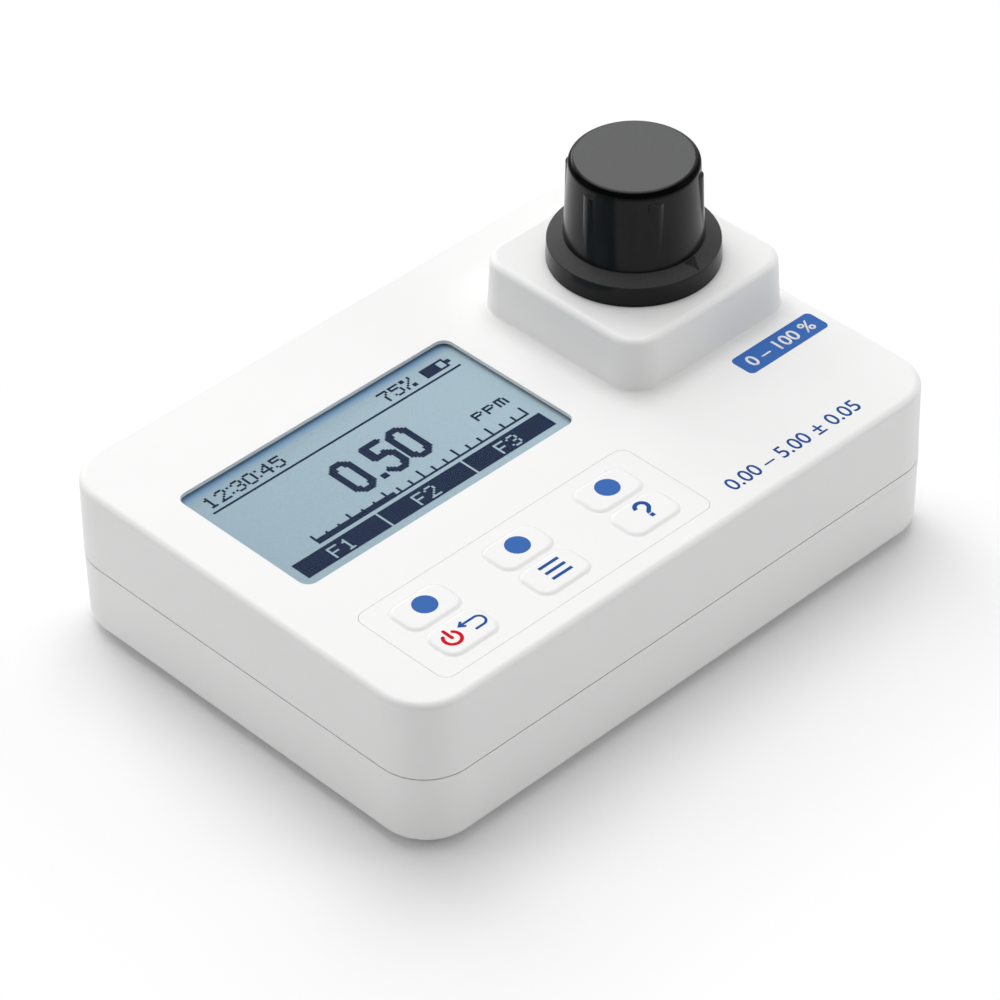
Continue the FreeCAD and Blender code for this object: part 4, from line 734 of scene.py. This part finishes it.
bar(drawing, hook_foot, tail, ARROW_STROKE)
round_end(drawing, tail, ARROW_STROKE, 180)
make_piece("return_arrow", drawing, deep_blue_ink, "key_power", lift=key_top)

# %% Menu lines
MENU_SHIFT = Vector((0.52, 0.50, 0))
MENU_HALF, MENU_PITCH, MENU_STROKE = Vector((2.55, 0, 0)), Vector((0, 1.88, 0)), 0.72

middle = key_middle("key_menu") + MENU_SHIFT
drawing = bmesh.new()
for row in (-1, 0, 1):
    line = middle + row * MENU_PITCH
    bar(drawing, line - MENU_HALF, line + MENU_HALF, MENU_STROKE)
make_piece("menu_lines", drawing, deep_blue_ink, "key_menu", lift=key_top)

# %% Question mark
BOW_SHIFT = Vector((0.60, 1.50, 0))
BOW_RADIUS, BOW_STROKE = 1.37, 0.88
BOW_START, BOW_END = 174, -50
NECK_LENGTH, NECK_RADIUS = 0.84, 0.8
POINT_GAP, POINT_SIDE = 0.24, 0.95

bow = key_middle("key_help") + BOW_SHIFT
drawing = bmesh.new()
bow_end = arc(drawing, bow, BOW_RADIUS, BOW_STROKE, BOW_START, BOW_END - BOW_START)
neck_end = bow_end + pointing(BOW_END - 90) * NECK_LENGTH
bar(drawing, bow_end, neck_end, BOW_STROKE)
neck_middle = neck_end + pointing(BOW_END) * NECK_RADIUS
foot = arc(drawing, neck_middle, NECK_RADIUS, BOW_STROKE, BOW_END + 180, -BOW_END)
point_top = foot - Vector((0, POINT_GAP, 0))
bar(drawing, point_top, point_top - Vector((0, POINT_SIDE, 0)), POINT_SIDE)
make_piece("help_sign", drawing, deep_blue_ink, "key_help", lift=key_top)

# %% [markdown]
# ## Webs round the keys
# On the real keypad a thin elastic web closes the gap round each key, so that no dust falls in and the eye
# sees only the soft slope of the key. Each web is a narrow ring: a plate with rounded corners is drawn,
# inset by the width of the ring and opened. It lies on the keypad plate and stays there when the key goes
# down.

# %% Webs
SIGN_KEYS = ("key_power", "key_menu", "key_help")
KEY_LIP, KEY_CORNER = 0.35, 2.8
WEB_INNER, WEB_OUTER, WEB_THICKNESS, WEB_SEGMENTS = 0.02, 0.15, 0.012, 12


def rounded_plate(mesh, centre, size, corner, segments):
    """Draws a flat plate with rounded corners."""
    place = Matrix.Translation(centre) @ Matrix.Diagonal((*size.xy, 1, 1))
    bmesh.ops.create_grid(mesh, x_segments=1, y_segments=1, size=HALF_SIDE, matrix=place)
    bmesh.ops.bevel(mesh, geom=mesh.verts[:], offset=corner, affect="VERTICES", segments=segments,
                    profile=0.5, material=-1)


plate_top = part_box("keypad_panel")[1].z
for key in SIGN_KEYS + DOT_KEYS:
    low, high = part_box(key)
    margin = 2 * (WEB_OUTER - KEY_LIP)
    size = (high - low) / MM + Vector((margin, margin, 0))
    drawing = bmesh.new()
    rounded_plate(drawing, key_middle(key), size, KEY_CORNER + WEB_OUTER, WEB_SEGMENTS)
    plate = drawing.faces[:]
    bmesh.ops.inset_region(drawing, faces=plate, thickness=WEB_OUTER - WEB_INNER, use_boundary=True,
                           use_even_offset=True)
    bmesh.ops.delete(drawing, geom=plate, context="FACES")
    make_piece(f"{key}_web", drawing, finishes["key_white"], "housing", plate_top, WEB_THICKNESS)

# %% [markdown]
# ## Label and range print
# A blue label lies in front of the block, and a line of blue print runs along the front edge. Both carry
# plain numbers: a share in percent, and a range with its tolerance. The numbers come from a text object,
# which is made a mesh first, so that its place can be put into the mesh. The case's top face is flush with
# the keypad plate, so the plate's box gives its height.

# %% Label
LABEL_LOW, LABEL_HIGH = Vector((45.30, -23.50, 0)), Vector((68.00, -17.30, 0))
LABEL_CORNER, LABEL_SEGMENTS = 1.2, 8
case_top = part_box("keypad_panel")[1].z
label_middle = (LABEL_LOW + LABEL_HIGH) / 2
drawing = bmesh.new()
rounded_plate(drawing, label_middle, LABEL_HIGH - LABEL_LOW, LABEL_CORNER, LABEL_SEGMENTS)
make_piece("blue_label", drawing, blue_ink, "housing", lift=case_top)

# %% Printed numbers
LABEL_TEXT_DROP = Vector((0, 1.62, 0))
RANGE_TEXT_PLACE = Vector((34.8, -45.85, 0))


def print_line(name, line, size, boldness, place, finish, lift):
    """Prints a line of numbers that is centred on a place; its strokes are widened by the boldness."""
    words = bpy.data.curves.new(name, "FONT")
    words.body = line
    words.size = size
    words.offset = boldness
    words.align_x = "CENTER"
    words_object = bpy.data.objects.new(name, words)
    flat = bpy.data.meshes.new_from_object(words_object)
    bpy.data.objects.remove(words_object)
    bpy.data.curves.remove(words)
    letters = bmesh.new()
    letters.from_mesh(flat)
    bpy.data.meshes.remove(flat)
    bmesh.ops.translate(letters, verts=letters.verts[:], vec=place)
    make_piece(name, letters, finish, "housing", lift)


print_line("label_print", "0 – 100 %", size=4.6, boldness=0.07, place=label_middle - LABEL_TEXT_DROP,
           finish=white_ink, lift=case_top + INK_THICKNESS * MM)
print_line("range_print", "0.00 – 5.00 ± 0.05", size=5.0, boldness=0.03, place=RANGE_TEXT_PLACE,
           finish=deep_blue_ink, lift=case_top)

# %% [markdown]
# ## Picture on the display
# The display has 128 by 64 dots, and everything on it is made of dots. Small signs come from patterns of up
# to five by seven dots. The large digits are strokes: a dot is on if it lies close enough to a stroke.
# At the end a grid with one face for each dot is made, and the faces of the dots that are off are deleted.

# %% Dot patterns
COLUMNS, ROWS = 128, 64
PATTERNS = {
    "0": ".###. #...# #...# #...# #...# #...# .###.",
    "1": "..#.. .##.. ..#.. ..#.. ..#.. ..#.. .###.",
    "2": ".###. #...# ....# ...#. ..#.. .#... #####",
    "3": ".###. #...# ....# ..##. ....# #...# .###.",
    "4": "...#. ..##. .#.#. #..#. ##### ...#. ...#.",
    "5": "##### #.... ####. ....# ....# #...# .###.",
    "7": "##### ....# ...#. ..#.. ..#.. ..#.. ..#..",
    ":": ". # . . . # .",
    "%": "##..# ##..# ...#. ..#.. .#... #..## #..##",
    "F": "##### #.... #.... ####. #.... #.... #....",
    "m": "..... ..... ####. #.#.# #.#.# #.#.# #.#.#",
    "p": "..... ..... ####. #...# ####. #.... #....",
}
lit_dots = set()


def put_block(left, top, width, height, on=True):
    """Turns a rectangle of dots on or off; rows count from the top."""
    dots = {(left + x, top + y) for x in range(width) for y in range(height)}
    if on:
        lit_dots.update(dots)
    else:
        lit_dots.difference_update(dots)


def put_words(text, left, top, on=True):
    """Writes a row of small signs, one dot apart."""
    for sign in text:
        lines = PATTERNS[sign].split()
        for y, line in enumerate(lines):
            for x, dot in enumerate(line):
                if dot == "#":
                    put_block(left + x, top + y, 1, 1, on)
        left += len(lines[0]) + 1


def put_stroke(points, half_width):
    """Turns on the dots near a line through some points."""
    for start, end in zip(points, points[1:]):
        first, run = Vector(start), Vector(end) - Vector(start)
        for column in range(COLUMNS):
            for row in range(ROWS):
                dot = Vector((column, row))
                along = max(0.0, min(1.0, (dot - first).dot(run) / run.length_squared))
                if (dot - first - run * along).length <= half_width:
                    lit_dots.add((column, row))


print(len(PATTERNS), "small signs")

# %% Top row
put_words("12:30:45", left=1, top=0)
put_words("75%", left=91, top=0)
put_block(left=113, top=1, width=12, height=6)
put_block(left=125, top=3, width=2, height=2)
put_block(left=121, top=2, width=3, height=4, on=False)
put_block(left=0, top=9, width=COLUMNS, height=1)
print(len(lit_dots), "dots in the top row and its line")

# %% Reading
DIGIT_HALF_STROKE = 1.62
DIGIT_TOP = 20
NOUGHT = ((1, 4), (3.5, 1), (6.5, 1), (9, 4), (9, 17), (6.5, 20), (3.5, 20), (1, 17), (1, 4))
FIVE = ((8.5, 1), (1.5, 1), (1.5, 9), (6.5, 8.5), (9, 11), (9, 17), (6.5, 20), (3.5, 20), (1, 17.5))


def put_digit(shape, left):
    """Draws a large digit from the points of its stroke."""
    put_stroke([(left + x, DIGIT_TOP + y) for x, y in shape], DIGIT_HALF_STROKE)


put_digit(NOUGHT, left=46)
put_block(left=59, top=38, width=3, height=3)
put_digit(FIVE, left=63)
put_digit(NOUGHT, left=75)
put_words("ppm", left=108, top=34)
print(len(lit_dots), "dots with the reading")

# %% Scale and fields
SCALE_LEFT, SCALE_RIGHT, SCALE_ROW = 16, 124, 51
TICK_PITCH, LONG_TICK_PITCH = 6, 18
SHORT_TICK, LONG_TICK = 3, 5
POINTER_LENGTH, POINTER_WIDTH = 40, 2
FIELD_TOP, FIELD_TEXT_TOP = 54, 56
FIELD_SPLITS, FIELD_TEXTS = (42, 86), (15, 58, 101)

scale_length = SCALE_RIGHT - SCALE_LEFT + 1
put_block(SCALE_LEFT, SCALE_ROW, scale_length, 1)
for step in range(0, scale_length, TICK_PITCH):
    tick = SHORT_TICK if step % LONG_TICK_PITCH else LONG_TICK
    put_block(SCALE_LEFT + step, SCALE_ROW - tick, 1, tick)
put_block(SCALE_LEFT, SCALE_ROW - POINTER_WIDTH, POINTER_LENGTH, POINTER_WIDTH)
put_block(0, FIELD_TOP, COLUMNS, ROWS - FIELD_TOP)
for split in FIELD_SPLITS:
    put_block(split, FIELD_TOP, 1, ROWS - FIELD_TOP, on=False)
for number, left in enumerate(FIELD_TEXTS, 1):
    put_words(f"F{number}", left, FIELD_TEXT_TOP, on=False)
print(len(lit_dots), "of", COLUMNS * ROWS, "dots are on")

# %% Dots as a mesh
PICTURE_WIDTH, PICTURE_DEPTH = 65.47, 31.64
PICTURE_MIDDLE = Vector((-24.21, 10.1, 0))
DOT_THICKNESS = 0.05
DOT_BLUE = (0.013, 0.025, 0.062)

drawing = bmesh.new()
bmesh.ops.create_grid(drawing, x_segments=COLUMNS, y_segments=ROWS, size=HALF_SIDE)
unlit = []
for face in drawing.faces:
    middle = face.calc_center_median()
    dot = (int((middle.x + HALF_SIDE) * COLUMNS), int((HALF_SIDE - middle.y) * ROWS))
    if dot not in lit_dots:
        unlit.append(face)
bmesh.ops.delete(drawing, geom=unlit, context="FACES")
place = Matrix.Translation(PICTURE_MIDDLE) @ Matrix.Diagonal((PICTURE_WIDTH, PICTURE_DEPTH, 1, 1))
bmesh.ops.transform(drawing, matrix=place, verts=drawing.verts[:])
dot_ink = make_finish("dot_ink", DOT_BLUE, roughness=0.4, grain=LCD_SPECK, depth=LCD_SPECK_DEPTH, drift=0.1,
                      Specular_IOR_Level=PANE_SHINE)
lcd_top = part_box("lcd_panel")[1].z
make_piece("lcd_picture", drawing, dot_ink, "housing", lcd_top, DOT_THICKNESS)

# %% [markdown]
# ## Close
# The box of the dressed model is printed, as that of the CAD model was at the start, so that the two can be
# compared.

# %% Sizes and finish
low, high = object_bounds()
print("visual box in mm:", [round(side / MM, 2) for side in high - low])
